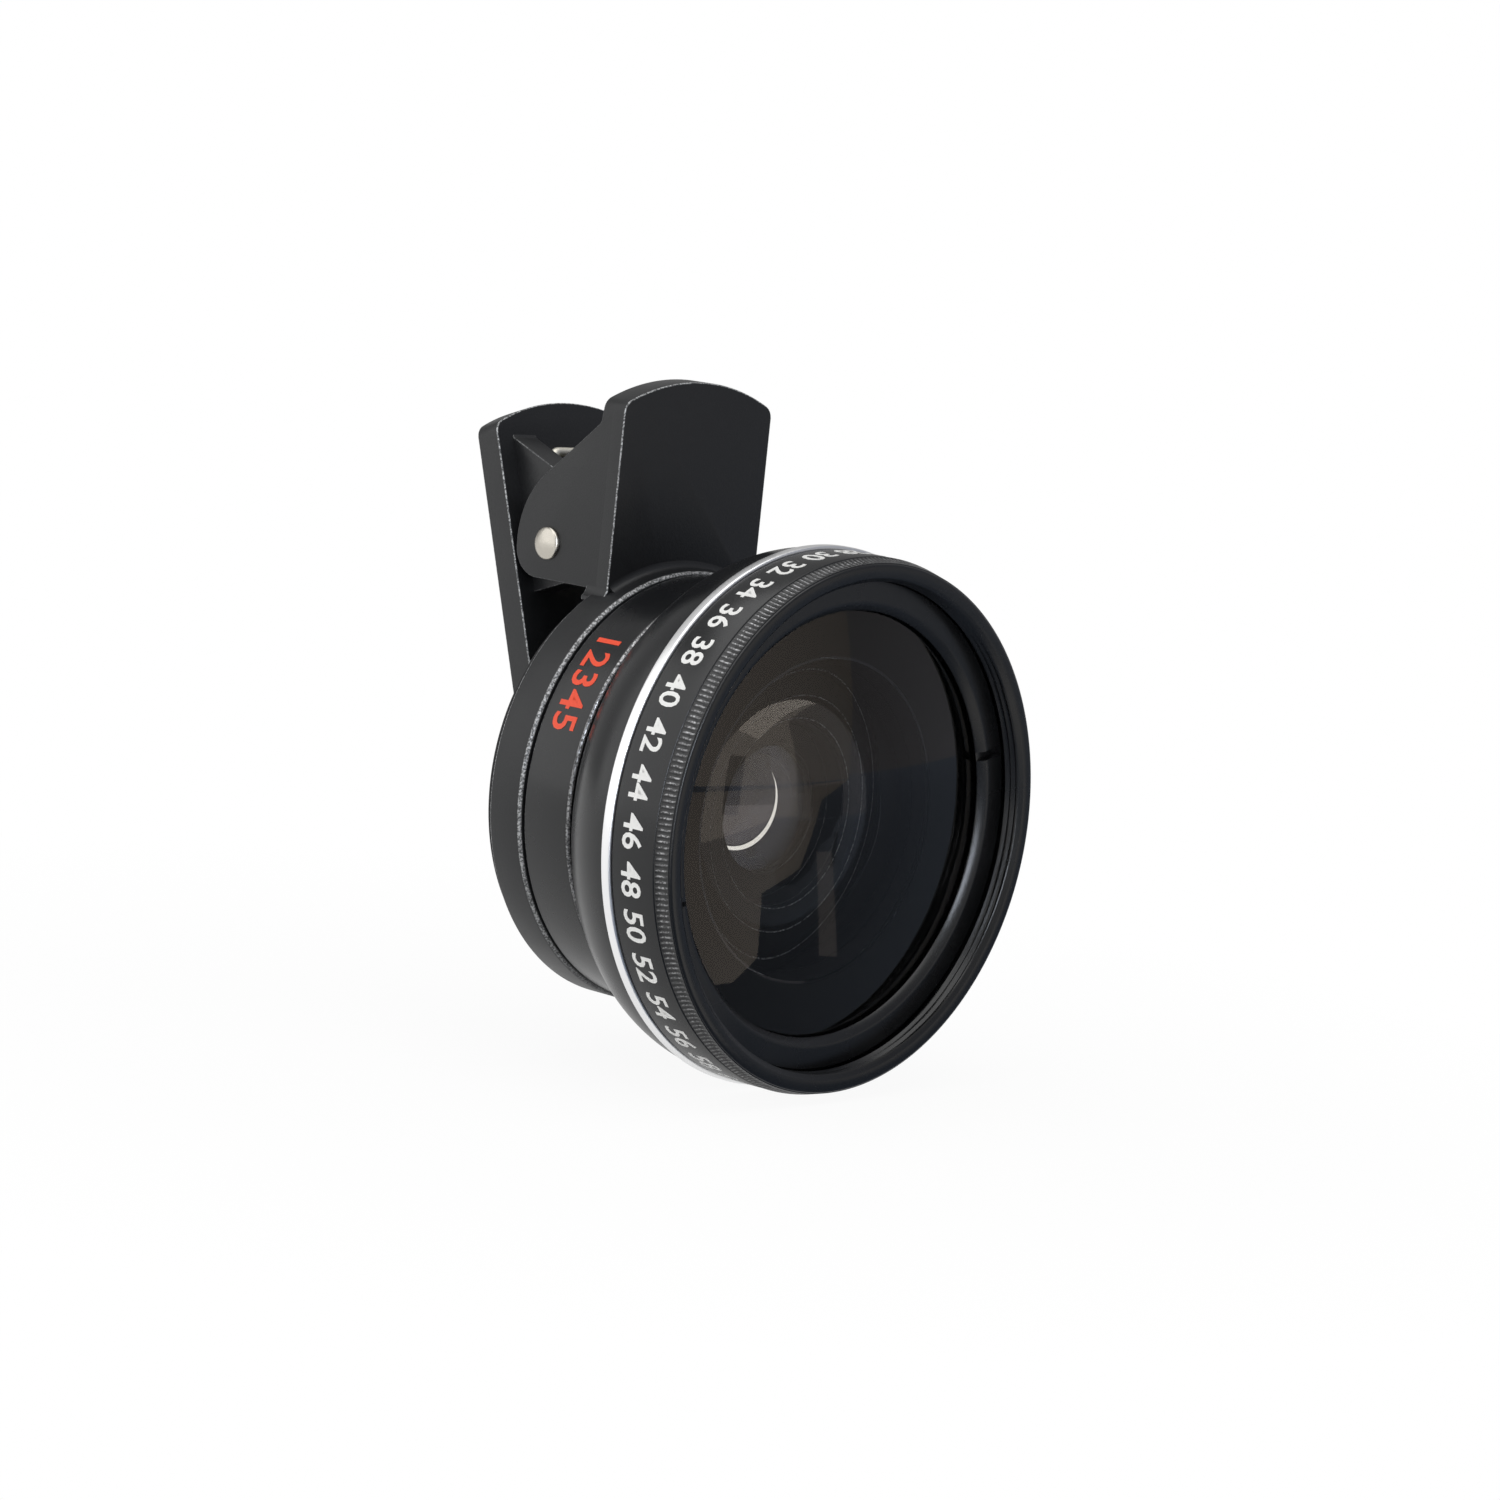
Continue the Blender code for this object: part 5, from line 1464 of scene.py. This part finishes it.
    def floor(self) -> None:
        """Pale floor that fades to pure white away from the object, so that no horizon shows."""
        mesh = bpy.data.meshes.new("floor")
        corners = self.on_floor(self.plate(6000.0, 6000.0), 0.0)
        mesh.from_pydata(corners.tolist(), [], [(0, 1, 2, 3)])
        mat, shader = new_material("white_paper_sweep", {
            "Base Color": linear("#f4f4f4"), "Roughness": 0.9, "Specular IOR Level": 0.0})
        tree = mat.node_tree
        rays = add(tree, "ShaderNodeLightPath").outputs
        clear = add(tree, "ShaderNodeMath", {0: rays["Is Camera Ray"], 1: rays["Is Transmission Ray"]},
                    operation="MAXIMUM").outputs[0]
        mirrored = add(tree, "ShaderNodeMath", {0: rays["Is Glossy Ray"]}, {1: 0.78},
                       operation="MULTIPLY").outputs[0]
        seen = add(tree, "ShaderNodeMath", {0: clear, 1: mirrored}, operation="MAXIMUM").outputs[0]
        place = add(tree, "ShaderNodeTexCoord").outputs["Object"]
        far = add(tree, "ShaderNodeVectorMath", {0: place}, operation="LENGTH").outputs["Value"]
        fade = add(tree, "ShaderNodeMapRange", {"Value": far},
                   {"From Min": 0.03, "From Max": 0.12, "To Min": 0.93, "To Max": 1.0}).outputs["Result"]
        amount = add(tree, "ShaderNodeMath", {0: seen, 1: fade}, operation="MULTIPLY").outputs[0]
        glow = add(tree, "ShaderNodeEmission", values={"Strength": 1.0}).outputs[0]
        mixed = add(tree, "ShaderNodeMixShader", {"Fac": amount, 1: shader.outputs[0], 2: glow})
        tree.links.new(mixed.outputs[0], tree.nodes["Material Output"].inputs["Surface"])
        mesh.materials.append(mat)
        obj = bpy.data.objects.new("floor", mesh)
        bpy.context.scene.collection.objects.link(obj)

    def build(self) -> None:
        """Set the whole studio."""
        self.camera()
        self.surroundings()
        self.floor()
        middle = (0.0, -0.01, 0.0)
        self.lamp("left_box", (-0.70, 0.30, 0.20), middle, (1.2, 1.2), 4.6)
        self.lamp("top", (-0.15, -0.1, 0.8), middle, (0.9, 0.9), 4.0)
        # In front and to the right, where the glass looks: a dim grey wall that runs on over the floor,
        # a paler wall and floor on its left, and one strip between them.
        self.card("grey_card", self.facing((0.40, -0.38, 0.30), (0.0, -0.01, 0.30), self.plate(0.90, 1.30)),
                  "#eef2ff", [0.34])
        self.card("brown_card", self.facing((0.243, -0.40, 0.043), middle, self.plate(0.23, 0.14)), "#fffcf9",
                  [0.40, 0.95, 0.95, 0.40], behind_glass=False)
        self.card("grey_floor_card", self.on_floor([(-80, -760), (800, -760), (800, -30), (-80, -30)], 0.4),
                  "#cfe2ff", [0.60, 0.60, 0.20, 0.20])
        self.card("brown_floor_card", self.on_floor(
            [(60, -410), (10, -153), (-8, -60), (-5, -48), (4, -49), (14, -57), (37, -93), (66, -110),
             (204, -250), (336, -338)], 0.6), "#fffcf9", [0.8] * 7 + [0.6, 0.5, 0.44], behind_glass=False)
        self.card("pale_strip", self.on_floor([(88, -125), (95, -121), (32, -51), (28, -53)], 0.8), "#f4f6ff",
                  [0.45], behind_glass=False)
        # Beside the camera: what the bright edges, the knurl and the keeper's bevel show.
        self.card("camera_card", self.facing((-0.55, -0.72, 0.20), middle, self.plate(0.18, 0.66)), "#eaf2ff",
                  [12.0], behind_glass=False)
        # Behind the rear opening: a dark stop, a bright disc, a darker one in front of it that leaves a
        # thin crescent, and a paler segment over the lower half of that one.
        ahead = np.array([0.0, -1.0, 0.0])
        behind = np.array([0.0, -0.0060, 0.0])
        aside = np.array([-0.00042, -0.0061, 0.0005])
        closer = aside + 0.0001 * ahead
        self.card("dark_stop", self.facing(behind - 0.0001 * ahead, behind, self.disc(0.0150)), "#fff4ec",
                  [0.012])
        self.card("bright_disc", self.facing(behind, behind + ahead, self.disc(0.0056)), "#ffffff", [1.35])
        self.card("dark_disc", self.facing(aside, aside + ahead, self.disc(0.0056)), "#fff4ec", [0.010])
        segment = arc((0.0, 0.0), 0.0054, -172.0, -8.0, 30)
        self.card("pale_segment", self.facing(closer, closer + ahead, segment), "#fff6ff", [0.08])
        bpy.context.scene.view_settings.view_transform = "Standard"


def main() -> None:
    """Build every sub-assembly in order."""
    logging.basicConfig(level=logging.INFO, format="%(message)s")
    Studio().build()
    finishes = Finishes()
    hinge = Hinge()
    lever = Lever()
    FrontMoulding(hinge, lever).build(finishes)
    back = BackMoulding(hinge, lever)
    back.build(finishes)
    HingeHardware(hinge, back).build(finishes)
    SeatPad().build(finishes)
    MacroRing().build(finishes)
    WideHead().build(finishes)


if __name__ == "__main__":
    main()
